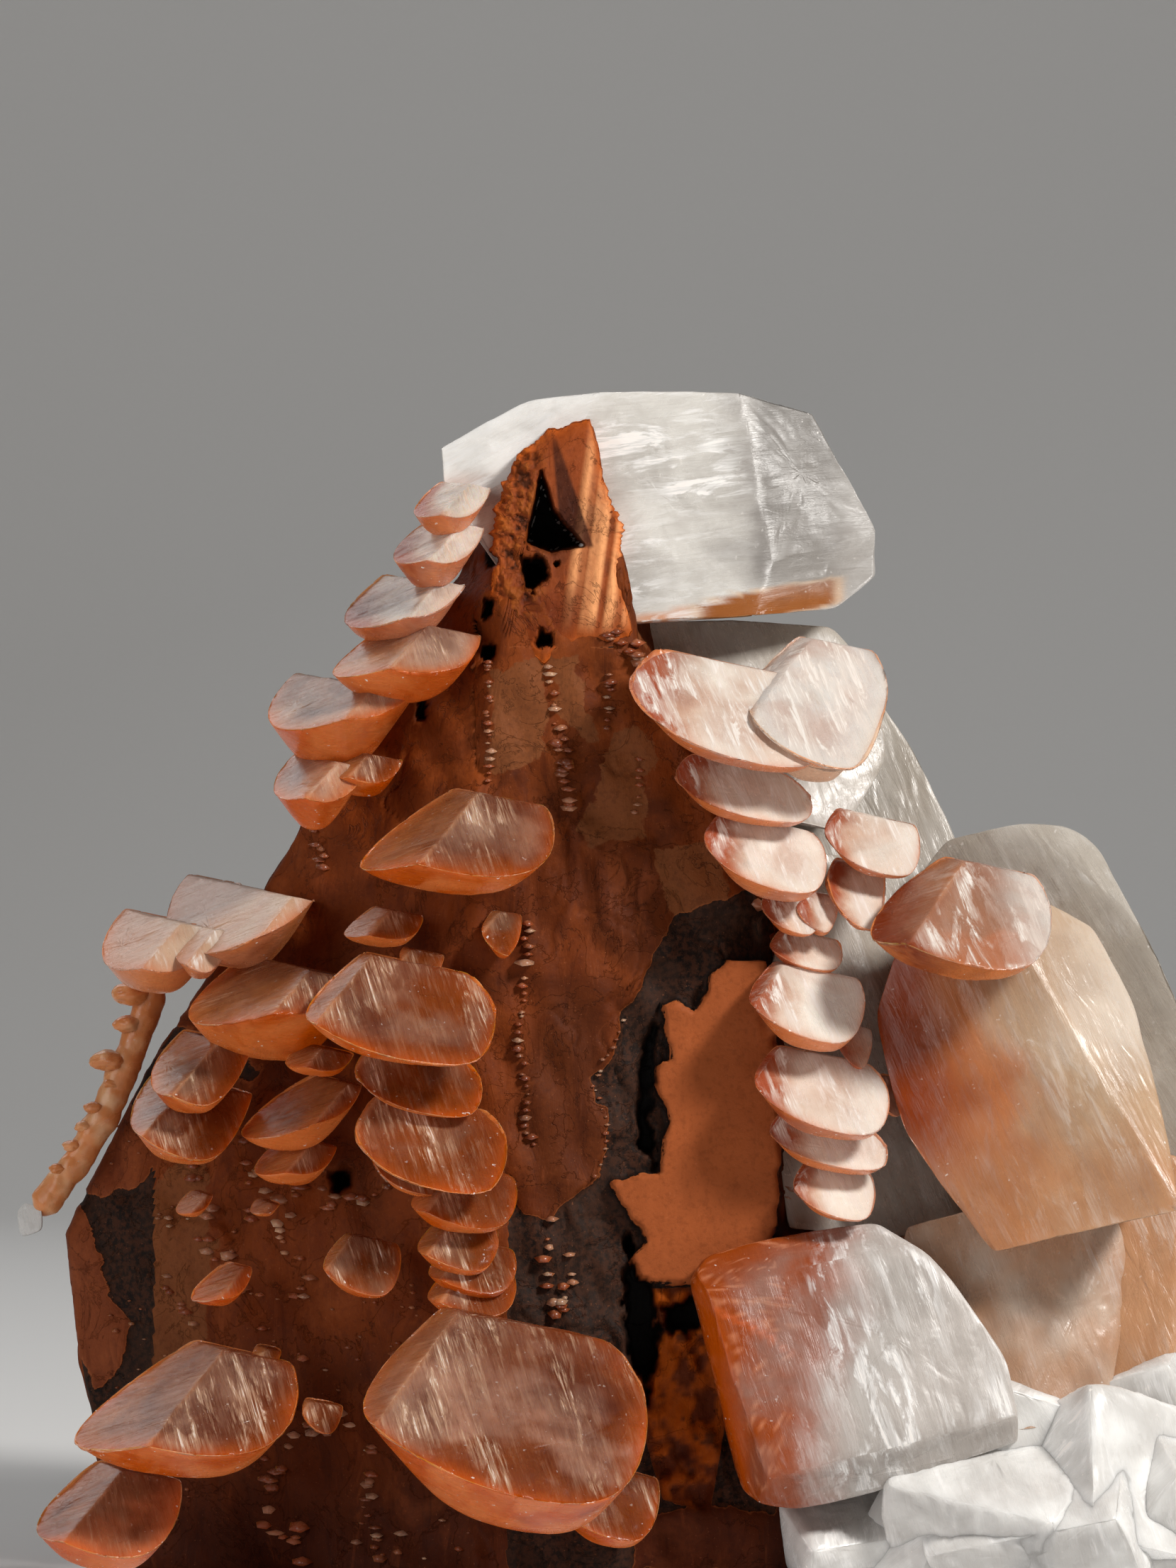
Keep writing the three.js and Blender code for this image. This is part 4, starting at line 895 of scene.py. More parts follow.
# Films on the front as seen: the brown ones, between which the bare crust shows, and where they are tan.
BROWN_FILMS = [
    [(-6.8, 50), (-6.6, 41), (-6.2, 30), (-4.6, 25.9), (-3, 25.7), (-2.5, 26), (-0.2, 27.6), (1.15, 29.8),
     (1.5, 30.7), (1.3, 33.5), (0.35, 33.7), (0.25, 35.2), (0.85, 36.2), (1.75, 37.4), (2.3, 39.9), (3.6, 42),
     (5, 44.5), (6, 47), (12, 49), (12, 62), (4, 66), (-7, 66), (-9, 58)],
    [(-36.6, 32.6), (-33.6, 34.4), (-31, 33.2), (-30.2, 29.6), (-32.4, 27.6), (-34.2, 27.2), (-36, 27.6)],
    [(-42, 28), (-36.6, 29.4), (-35, 25.1), (-33.6, 20.4), (-32.2, 18.4), (-32.6, 15.4), (-34.6, 13.6),
     (-35.4, 16), (-38.8, 14), (-42, 18)],
    [(-30.4, 27), (-22, 30), (-10, 25), (-9.6, 17), (-14, 9), (-20, 14), (-27.4, 17.2), (-28.8, 21)],
    [(-33, 1), (-31, 7), (-22, 10), (-8, 6), (-5.4, 1)],
    [(3, 1), (3.6, 5), (9, 5.6), (18, 4), (18, 1)],
]
TAN_FILMS = [
    [(-6.5, 64.1), (-2.9, 65.1), (-2.8, 57.9), (-6.9, 56.7)],
    [(-2.6, 65.1), (-0.7, 65.5), (0.5, 59.5), (-0.5, 59.7), (-2.5, 61.5)],
    [(1.7, 59.1), (3.3, 60.3), (5.7, 58.3), (4.3, 56.7), (4.1, 52.5), (0.5, 52.3), (-0.7, 53.1), (1.3, 57.9)],
    [(-32, 26), (-29, 29.4), (-26.8, 30), (-26, 24), (-27, 16.4), (-32, 14)],
    [(4.6, 51.6), (9.6, 52.4), (9.8, 45.4), (6.4, 46.2)],
]
VEINS = [[(3.3, 60.3), (1.7, 57.9), (0.1, 55.1), (-1.1, 53.1), (-0.9, 49.1), (-2.4, 44)],
         [(4.4, 52.2), (3.6, 48.5), (4.4, 45)], [(-5.4, 57), (-8.4, 53)], [(0.8, 50.6), (1.4, 46.4)]]
OCHRE_PATCH = [(3.6, 20.6), (8.6, 20.8), (9.6, 12), (8.4, 5.4), (5.4, 6.2), (3.4, 13)]


def hollowed(points, outline, bottom, soft=0.3):
    """Points inside an outline as seen are pushed back to the bottom depth, with a short slope at its edge,
    which is ragged but for the cave's. Returns the points and how far each is pushed, 0 to 1."""
    x, z = as_seen(points)
    ragged = (0.1 if outline is CAVE else 0.55) * layered(np.stack([x * 1.1, z * 1.1, 0 * x], -1), 61, 4)
    share = smooth(-0.2, soft, depth_inside(x, z, outline) + ragged)
    depth = points[..., 1]
    return moved_to_depth(points, np.maximum(depth, depth * (1 - share) + bottom * share)), share


def patches(x, z, seed, size):
    """Lobed film patches: layered noise bent by another noise, about -1 to 1."""
    spot = np.stack([x / size, z / (1.25 * size), np.zeros(x.shape)], -1)
    bend = np.stack([noise(spot * 1.7 + 9, seed), noise(spot * 1.7 + 21, seed), np.zeros(x.shape)], -1)
    return layered(spot + 0.55 * bend, seed + 3, 4)


def wall_core():
    """Places of the wall without its films, rows up and columns round: five corners run up through the
    levels, and the sides between them are rounded by averaging and waved."""
    levels = np.array([row[0] for row in WALL_LEVELS], float)
    corners = np.array([row[1:] for row in WALL_LEVELS], float)
    height = np.linspace(0, levels[-1], WALL_ROWS)
    corner = np.stack([[np.interp(height, levels, corners[:, k, axis]) for axis in (0, 1)] for k in range(5)])
    ring, rough = [], []
    for side, count in enumerate(SIDE_COLUMNS):
        share = np.arange(count) / count
        a, b = corner[side], corner[(side + 1) % 5]
        ring.append(a[:, :, None] * (1 - share) + b[:, :, None] * share)
        rough.append(np.full(count, 0.3 if side == 1 else 1.0))
    ring, rough = np.concatenate(ring, 2), np.concatenate(rough)
    for _ in range(3):
        ring = (np.roll(ring, 3, 2) + ring + np.roll(ring, -3, 2)) / 3
        rough = (np.roll(rough, 3) + rough + np.roll(rough, -3)) / 3
    x, y = ring
    z = np.broadcast_to(height[:, None], x.shape)
    wave = np.sin(1.9 * x + 0.7 * z) + np.sin(0.55 * z - 0.8 * y) + np.sin(1.3 * z + 0.5 * x)
    y = y + 0.35 * rough * wave * (1 - 0.6 * (rough > 0.5) * (x < -8))
    return np.stack([x * (1 + y / EYE_AWAY), y, z], -1)


def wall_shape():
    """The wall as one closed surface: the films' relief moves its places along the normal, the orange
    sheet stands out in front, and the pits and the cave go in. Returns the shape and its grid."""
    points = wall_core()
    x, y, z = np.moveaxis(points, -1, 0)
    sx, sz = as_seen(points)
    normal = normals_of(points)
    facing = smooth(0.15, 0.5, -normal[..., 1])
    in_front = facing > 0.5
    run = sx - 0.6 * y * (1 - facing)
    spot = np.stack([run, sz, y * (1 - facing)], -1)

    lobes = 2.4 * patches(run, sz, 11, 8.0) + 1.5 - 0.5 * (1 - facing)
    loose = ((sx < -5.6) & (sx > -30.5)) | (sz > 66) | (sx > 13)
    drawn = np.maximum(inside_any(sx, sz, BROWN_FILMS), np.where(loose, np.minimum(lobes, 0.4), -6))
    films = np.where(in_front, drawn, lobes) + 0.4 * layered(spot * 0.7, 5, 3)
    sheet = depth_inside(sx, sz, ORANGE_SHEET) + 0.3 * layered(spot * 0.8, 6, 3)
    sheet = np.where(in_front, sheet, 2.2 * patches(run, sz, 47, 10.0) - 1.2)
    tan = np.where(in_front, inside_any(sx, sz, TAN_FILMS), 2.2 * patches(run, sz, 43, 7.0) - 0.9)
    tan = tan + 0.5 * layered(spot * 0.6, 7, 3)
    ochre = smooth(-0.5, 0.3, depth_inside(sx, sz, OCHRE_PATCH)) * facing
    crumbly = layered(spot * 0.75, 31, 3)
    vein = np.min([along_line(sx, sz, line) for line in VEINS], 0) + 0.3 * layered(spot * 0.5, 4, 2)
    on_sheet = smooth(-0.12, 0.12, sheet)
    pocket = smooth(-3.4, -2.6, sheet) * smooth(0.3, -0.1, films) * (1 - on_sheet) * facing

    relief = 0.2 * smooth(-0.15, 0.15, films) + 0.07 * layered(spot * [0.7, 0.35, 0.7], 2, 3)
    relief = relief + 0.03 * layered(spot * 2.6, 14, 2) + 0.14 * smooth(0.5, 0.1, vein)
    crack = smooth(0.06, 0.0, np.abs(layered(spot / 5.5 + 11, 9, 3)))
    relief = relief - 0.25 * crack * smooth(0.1, 0.5, noise(spot / 8, 6))
    relief = relief + 0.7 * (1 - facing) * (layered(spot / 4.5, 8, 3) - 0.4)
    relief = relief * (1 - on_sheet) + on_sheet * (0.3 + 0.05 * crumbly)
    relief = relief - 0.45 * pocket + ochre * (0.6 * crumbly - 0.1)
    top = WALL_LEVELS[-1][0]
    ends = smooth(0, 1.2, z) * smooth(top, top - 1.5, z)
    points = points + normal * (relief * ends)[..., None]
    front = -3 + 1.8 * (np.clip(sz, 18, 46) - 20) / 24
    depth = points[..., 1]
    raised = np.minimum(depth, front + 0.06 * crumbly)
    points = moved_to_depth(points, depth + on_sheet * facing * (raised - depth))
    # Dark: painted shade in the pits and the cave, deeper where a point is pushed further in.
    dark = np.zeros(x.shape)
    for outline, bottom in PITS + FILM_PITS + [(CAVE, CAVE_BOTTOM)]:
        pushed, share = hollowed(points, outline, bottom)
        points = np.where((facing > 0.2)[..., None], pushed, points)
        dark = np.maximum(dark, share * (facing > 0.2))

    # Painted shadow: a dark purple-brown patch on the wall's front, left of the orange sheet, standing in for
    # a shadow cast from the right.
    plum_shadow = np.exp(-(((sx + 1.5) / 4.5) ** 2 + ((sz - 33) / 11) ** 2))
    lumps = painted(OCHRE, points, (tone(92, 40, 16), smooth(-0.1, 0.35, -crumbly)))
    ground = painted(
        FILM, points, (CHOCOLATE, smooth(-0.1, 0.7, patches(run, sz, 77, 9.0))),
        (PLUM_SHADOW, 0.85 * facing * smooth(0.3, 0.8, plum_shadow)),
        (SHEET_RED, 0.35 * facing * smooth(48, 54, sz) * smooth(-0.5, 0.4, crumbly)),
        (tone(92, 42, 18), 0.6 * smooth(0.5, 0.1, vein) * facing),
        (tone(70, 28, 12), 0.75 * smooth(10, 3, sz) * facing),
        (DEEP_BROWN, 0.4 * smooth(-6, -9, sx) * smooth(20, 14, sz) * facing),
        (tone(132, 68, 38), 0.9 * smooth(-30.5, -33, sx) * facing), (lumps, ochre))
    # Painted shade in the pits and the cave; on the ochre patch, also dark where the crumbly noise is high.
    hollow = smooth(0.15, 0.8, dark) + 0.75 * smooth(0.35, 0.6, crumbly) * ochre
    films, sheet = np.maximum(films, 3 * ochre - 1), np.where(ochre > 0.5, -3, sheet)
    return closed_grid(points, Ground=ground, Films=films, Sheet=sheet, Tan=tan, Dark=hollow), points


def film_shape():
    """Film under the summit: a closed sheet on rings drawn in from its outline. Its edge is toothed, its
    right part fluted, and it falls away into the cave and its pits."""
    outline = np.array(SUMMIT_FILM, float)
    middle_x, middle_z = -2.0, 74.0
    share = np.linspace(0, 1, 60, endpoint=False)[:, None]
    dense = np.concatenate([a * (1 - share) + b * share for a, b in zip(outline, np.roll(outline, -1, 0))])
    off_x, off_z = (dense - [middle_x, middle_z]).T
    turn = np.arctan2(off_z, off_x)
    order = np.argsort(turn)
    angle = np.linspace(-np.pi, np.pi, 330, endpoint=False)
    reach = np.interp(angle, turn[order], np.hypot(off_x, off_z)[order], period=2 * np.pi)
    teeth = layered(np.stack([np.cos(angle) * 9, np.sin(angle) * 9, 0 * angle], -1), 8, 3)
    reach = reach + 0.55 * np.abs(teeth) - 0.1
    rows = np.concatenate([np.linspace(0, 1, 96)[1:-1] ** 0.85, [0.985, 1.0]])[:, None]
    x, z = middle_x + rows * reach * np.cos(angle), middle_z + rows * reach * np.sin(angle)

    spot = np.stack([x, z, 0 * x], -1)
    lean = x - 0.14 * (z - middle_z)
    fluted = smooth(-1.4, -0.2, lean) * smooth(66.5, 68.5, z)
    flutes = 0.14 * np.abs(np.sin(2.1 * lean + 0.5 * noise(spot * [0.3, 0.1, 1], 2)))
    flutes = flutes + 0.04 * np.sin(6.3 * lean)
    crumbly = layered(spot * 1.6, 12, 4)
    left = smooth(-2.4, -4.2, x) * smooth(67, 69, z)
    depth = 0.8 + 4.6 * (z - 66) / 16.3
    depth = depth - 0.35 - fluted * flutes - 0.45 * left * crumbly - 0.03 * layered(spot * 2.2, 3, 3)
    depth = depth + 0.7 * rows ** 10
    points = seen(np.stack([x, z, depth], -1).reshape(-1, 3)).reshape(x.shape + (3,))
    # Painted shade in the cave and pits of the film, by how far each point is pushed in.
    dark = np.zeros(x.shape)
    for hole, bottom in [(CAVE, CAVE_BOTTOM - 0.3)] + PITS[:2] + FILM_PITS[:2]:
        points, pushed = hollowed(points, hole, bottom, 0.22)
        dark = np.maximum(dark, pushed)
    back = moved_to_depth(points, np.maximum(points[..., 1] + 0.5, depth + 4))

    groove = np.abs(x - (-1.9 + 0.22 * (78.5 - z))) - 0.12 * (81.2 - z)
    groove = smooth(0.25, 0.0, groove) * smooth(72.9, 73.2, z) * smooth(81.2, 80.4, z)
    ground = painted(
        tone(138, 66, 30), points, (tone(110, 54, 28), smooth(-0.1, 0.6, patches(x, z, 19, 3.0))),
        (tone(240, 168, 112), 0.92 * fluted * smooth(0.0, 0.5, flutes * 3)),
        (tone(104, 42, 14), 0.8 * smooth(71, 68.6, z) * smooth(0.9, -0.5, lean)),
        (tone(62, 28, 16), 0.9 * groove), (tone(164, 90, 32), 0.6 * left * smooth(-0.1, 0.5, crumbly)),
        (CHARCOAL, 0.8 * left * smooth(0.1, 0.5, -crumbly)), (tone(196, 92, 20), 0.8 * rows ** 12))
    flat = np.full(x.shape, 3.0)
    values = {"Ground": ground, "Films": flat, "Sheet": -flat, "Tan": -flat, "Dark": smooth(0.1, 0.7, dark)}
    values = {key: np.concatenate([value, value[::-1]])[:, ::-1] for key, value in values.items()}
    return closed_grid(np.concatenate([points, back[::-1]])[:, ::-1], **values)


# Rib and crumbs
def rib_piece(grid, seed):
    """A closed shape of the rib from rings of points, clouded from tan to salmon."""
    shape = closed_grid(grid[:, ::-1])
    cloud = smooth(-0.2, 0.8, layered(shape.points * 0.8, seed, 3))
    flat = 0 * cloud
    ground = painted(tone(222, 142, 84), shape.points, (tone(236, 184, 136), cloud))
    shape.values = {"Ground": ground, "Silk": flat, "Rim": flat + 2, "Lit": flat}
    return shape


def rib_shape(line, depth, radius, seed):
    """Rib as a circle carried along a run of points: its radius swells by a rounded sine along the run
    and layered noise round it, and tapers at both ends."""
    path = seen(np.column_stack([np.asarray(line, float), np.full(len(line), depth)]))
    gone = np.concatenate([[0], np.cumsum(np.linalg.norm(np.diff(path, axis=0), axis=1))])
    run = np.linspace(0, gone[-1], 150)
    middle = np.stack([np.interp(run, gone, path[:, axis]) for axis in range(3)], -1)
    for _ in range(6):
        middle[1:-1] = (middle[:-2] + middle[1:-1] + middle[2:]) / 3
    along = unit(np.gradient(middle, axis=0))
    side = unit(np.cross(along, BACK))
    turn = np.linspace(0, 2 * np.pi, 48, endpoint=False)[:, None]
    way = np.cos(turn) * side[:, None] + np.sin(turn) * np.cross(side, along)[:, None]
    swell = 1 + 0.06 * np.abs(np.sin(2.1 * run))[:, None]
    swell = swell + 0.22 * layered((middle[:, None] + way) * 0.5, seed, 4)
    taper = np.sqrt(np.clip(np.minimum(run, run[-1] - run) / 0.9, 0.02, 1))[:, None]
    return rib_piece(middle[:, None] + (radius * swell * taper * 0.86)[..., None] * way, seed)


def knob_shape(place, radius, seed):
    """Knob of the rib: a ball of reach 0.95 radius (1 + 0.22 noise), flattened from above."""
    centre = seen(place)[0]
    theta = np.linspace(0.04, np.pi - 0.04, 26)[:, None]
    phi = np.linspace(0, 2 * np.pi, 40, endpoint=False)
    way = np.stack([np.sin(theta) * np.cos(phi), np.sin(theta) * np.sin(phi), np.cos(theta) + 0 * phi], -1)
    reach = radius * 0.95 * (1 + 0.22 * layered(way * 1.8 + centre, seed, 3))
    return rib_piece(centre + reach[..., None] * way * [1.25, 1.1, 0.75], seed)


GEM_CORNERS = np.array([[0, 0.1, 0.62], [1, 0.25, 0.05], [0.4, 0.9, -0.1], [-0.55, 0.85, -0.05],
                        [-1, 0.1, 0.05], [-0.5, -0.9, 0.0], [0.55, -0.85, 0.0], [0, 0.1, -0.75]])
GEM_FACES = np.array([[0, k, k % 6 + 1] for k in range(1, 7)] + [[7, k % 6 + 1, k] for k in range(1, 7)])


def turned(a, b, angle):
    """Coordinates a and b of every gem's corners, turned by that gem's angle."""
    c, s = np.cos(angle)[:, None], np.sin(angle)[:, None]
    return a * c - b * s, a * s + b * c


def gems_shape(places, sizes, seed, colours, turn):
    """Crumb crystals: one flat twelve-faced form, turned and scaled at every place, leaning outwards."""
    count = len(places)
    chance = lattice(np.arange(count)[:, None], np.arange(6)[None], 0, seed)
    stretch = np.array([1.0, 0.9, 0.55]) + np.array([0.5, 0.5, 0.35]) * chance[:, 2:5]
    x, y, z = np.moveaxis(GEM_CORNERS * (sizes[:, None] * stretch)[:, None], -1, 0)
    x, y = turned(x, y, 1.2 * (chance[:, 0] - 0.5))
    y, z = turned(y, z, 0.42 + 0.5 * (chance[:, 1] - 0.5))
    x, y = turned(x, y, turn)
    points = (np.stack([x, y, z], -1) + places[:, None]).reshape(-1, 3)
    tris = (GEM_FACES[None] + len(GEM_CORNERS) * np.arange(count)[:, None, None]).reshape(-1, 3)
    # Painted glint: the top corner of each crumb is blended towards cream.
    apex = np.tile(np.arange(len(GEM_CORNERS)) == 0, count)
    ground = blend(np.repeat(colours, len(GEM_CORNERS), 0), CREAM, 0.25 * apex)
    flat = np.zeros(len(points))
    # Lit gives the crumbs a faint painted glow.
    return Shape(points, np.zeros((0, 4), int), tris, Ground=ground, Silk=flat, Rim=flat + 2, Lit=flat + 0.35)


def chain(line, apart, spread, seed):
    """Places strung along a run of points, each a little off it."""
    line = np.asarray(line, float)
    gone = np.concatenate([[0], np.cumsum(np.hypot(*np.diff(line, axis=0).T))])
    run = np.arange(0, gone[-1], apart)
    chance = lattice(np.arange(len(run))[:, None], np.arange(2)[None], 7, seed) - 0.5
    return [np.interp(run, gone, line[:, axis]) + spread * chance[:, axis] for axis in (0, 1)]


CRUMB_BROWN = tone(150, 66, 28)
# Runs of small crystals on the wall, as seen: points of the run, spacing, spread and size.
CRUMB_LINES = [
    ([(-4.4, 42.6), (-4.95, 38), (-4.2, 35), (-4.55, 32.1), (-3.5, 30.5)], 0.55, 0.3, 0.3),
    ([(2.3, 39.5), (1.65, 37.6), (0.3, 35.1), (1.35, 33), (1.35, 30.7), (0.5, 28.6)], 0.6, 0.25, 0.2),
    ([(-7, 65.1), (-7, 56.4)], 0.5, 0.3, 0.26),
    ([(-2.7, 64.6), (-1.5, 57)], 0.55, 0.5, 0.32),
    ([(1.5, 64.1), (1.4, 60.5)], 0.45, 0.35, 0.34),
    ([(-2, 59.4), (-1.4, 54.2)], 0.5, 0.5, 0.34),
    ([(3.6, 58), (3.3, 54)], 0.6, 0.3, 0.24),
    ([(-2.9, 25.2), (-3.2, 23.5), (-2.2, 19)], 0.6, 1.2, 0.36),
    ([(-1.2, 22.8), (-1.6, 19.2)], 0.6, 0.8, 0.36),
    ([(-4.2, 46.6), (-4.4, 43.2)], 0.6, 0.4, 0.4),
    ([(-21.8, 32), (-20.4, 27.6)], 0.5, 1.6, 0.5),
    ([(-28.5, 29.4), (-26.5, 24.4), (-24, 20.4)], 0.6, 1.6, 0.42),
    ([(-24.4, 30.8), (-22.6, 27), (-20.6, 23.6), (-20, 19.4)], 0.5, 2.2, 0.42),
    ([(-21.8, 8.6), (-22, 5), (-19.6, 1.6)], 0.6, 1.6, 0.5),
    ([(-14.8, 9.6), (-15.2, 5), (-14.6, 1.4)], 0.65, 0.9, 0.45),
    ([(-17.4, 12.4), (-21.2, 9.6)], 0.6, 1.2, 0.45),
    ([(-30, 21.4), (-27.6, 18.6)], 0.6, 1.2, 0.4),
    ([(-18.6, 26.4), (-12.4, 28.4)], 0.6, 1.4, 0.42),
    ([(1.2, 67.0), (3.2, 66.2), (3.8, 64.6)], 0.4, 0.9, 0.42),
    ([(-19.8, 54.2), (-18.6, 50.2)], 0.5, 0.8, 0.4),
]


def strung_crumbs(grid, seed=5):
    """Crumb crystals on the front of the wall: strung runs first, then a scatter over the lower left face."""
    front = grid[:, :FRONT_COLUMNS].reshape(-1, 3)
    front_x, front_z = as_seen(front)
    rows = []
    for number, (line, apart, spread, size) in enumerate(CRUMB_LINES):
        x, z = chain(line, apart, spread, seed + number)
        rows.append([x, z, size * (0.55 + 0.9 * lattice(np.arange(len(x)), number, 3, seed))])
    many = np.arange(300)
    x, z = -34 + 26 * lattice(many, 1, 1, seed), 1.5 + 31 * lattice(many, 2, 1, seed)
    keep = noise(np.stack([x / 3.2, z / 3.2, 0 * x], -1), 91) > 0.12
    rows.append([x[keep], z[keep], 0.14 + 0.34 * lattice(many, 3, 1, seed)[keep] ** 3])
    x, z, size = np.concatenate(rows, 1)
    nearest = [np.argmin((front_x - a) ** 2 + (front_z - b) ** 2) for a, b in zip(x, z)]
    places = front[nearest] - 0.25 * BACK * size[:, None]
    share = lattice(np.arange(len(x)), 4, 1, seed)
    colours = painted(tone(168, 90, 52), places, (tone(214, 170, 140), share ** 4),
                      (CRUMB_BROWN, 0.8 * smooth(0.7, 0.2, share)))
    return gems_shape(places, size, seed, colours, np.zeros(len(x)))


def drifted_crumbs(grid, seed=23):
    """Crumb crystals of the sides and back: places drawn over the wall's rows and columns, kept in drifts."""
    many = np.arange(2600)
    row = (6 + (len(grid) - 50) * lattice(many, 1, 2, seed)).astype(int)
    start = FRONT_COLUMNS + 1
    column = start + (sum(SIDE_COLUMNS) - start - 2) * lattice(many, 2, 2, seed)
    first = column.astype(int)
    share = (column - first)[:, None]
    places = grid[row, first] * (1 - share) + grid[row, first + 1] * share
    keep = noise(places / 4.5, 93) > 0.22
    places, normal = places[keep], normals_of(grid)[row, first][keep]
    size = 0.22 + 0.95 * lattice(many, 3, 2, seed)[keep] ** 3
    chance = lattice(many, 4, 2, seed)[keep]
    colours = painted(tone(182, 100, 62), places, (tone(222, 188, 160), chance ** 2),
                      (CRUMB_BROWN, 0.8 * smooth(0.6, 0.2, chance)))
    return gems_shape(places + 0.1 * normal, size, seed, colours, np.arctan2(normal[:, 0], -normal[:, 1]))


# Materials
# Colour of the small painted glints on calcite.
GLINT_WHITE = (0.92, 0.88, 0.84)
MATERIALS = {}


class Wire:
    """A value on its way through a material. Operators add Math nodes, also with the number on the left."""

    def __init__(self, bench, socket):
        self.bench, self.socket = bench, socket

    def math(self, operation, *values):
        return self.bench.node("Math", {"operation": operation}, dict(enumerate(values)))

    def __add__(self, other):
        return self.math("ADD", self, other)

    def __sub__(self, other):
        return self.math("SUBTRACT", self, other)

    def __rsub__(self, other):
        return self.math("SUBTRACT", other, self)

    def __mul__(self, other):
        return self.math("MULTIPLY", self, other)

    __radd__, __rmul__ = __add__, __mul__

    def ramp(self, low, high):
        """0 below low, 1 above high, straight between."""
        return self.bench.node("MapRange", {"clamp": True}, {0: self, 1: low, 2: high, 3: 0.0, 4: 1.0})


class Bench:
    """One material in the making. When it is finished, MATERIALS has it under its name."""

    def __init__(self, name):
        self.name, self.material = name, bpy.data.materials.new(name)
        self.material.use_nodes = True
        self.tree = self.material.node_tree
        self.tree.nodes.clear()
        self.place = self.node("TexCoord", output="Object")

    def node(self, kind, settings=None, inputs=None, output=0):
        """Any node: its type, its settings, values or wires for its sockets, and the output to go on with."""
        made = self.tree.nodes.new("ShaderNode" + kind)
        for key, value in (settings or {}).items():
            setattr(made, key, value)
        for key, value in (inputs or {}).items():
            if isinstance(value, Wire):
                self.tree.links.new(value.socket, made.inputs[key])
            else:
                made.inputs[key].default_value = value
        return Wire(self, made.outputs[output]) if made.outputs else None

    def stored(self, key, output="Fac"):
        """A value stored on every vertex."""
        return self.node("Attribute", {"attribute_name": key}, {}, output)

    def mix(self, share, a, b, way="MIX"):
        """Colour a mixed with colour b."""
        put = {0: share}
        for key, colour in ((6, a), (7, b)):
            put[key] = colour if isinstance(colour, Wire) else (*colour, 1.0)
        return self.node("Mix", {"data_type": "RGBA", "blend_type": way}, put, 2)

    def over(self, colour, *coats):
        """A colour with coats laid over it in turn: each a share, a colour and, if not mixed, the way."""
        for share, coat, *way in coats:
            colour = self.mix(share, colour, coat, *way)
        return colour

    def cloud(self, size, detail=4.0, rough=0.55, bend=0.0, place=None, stretch=None):
        """Noise from 0 to 1 on a place, which may be stretched by a factor on each axis."""
        spot = place or self.place
        if stretch:
            spot = self.node("VectorMath", {"operation": "MULTIPLY"}, {0: spot, 1: stretch})
        return self.node("TexNoise", {}, {"Vector": spot, "Scale": size, "Detail": detail,
                                          "Roughness": rough, "Distortion": bend}, "Fac")

    def finished(self, inputs):
        """Makes the surface from values or wires for the named sockets."""
        surface = self.node("BsdfPrincipled", {}, inputs)
        self.node("OutputMaterial", {}, {"Surface": surface})
        MATERIALS[self.name] = self.material


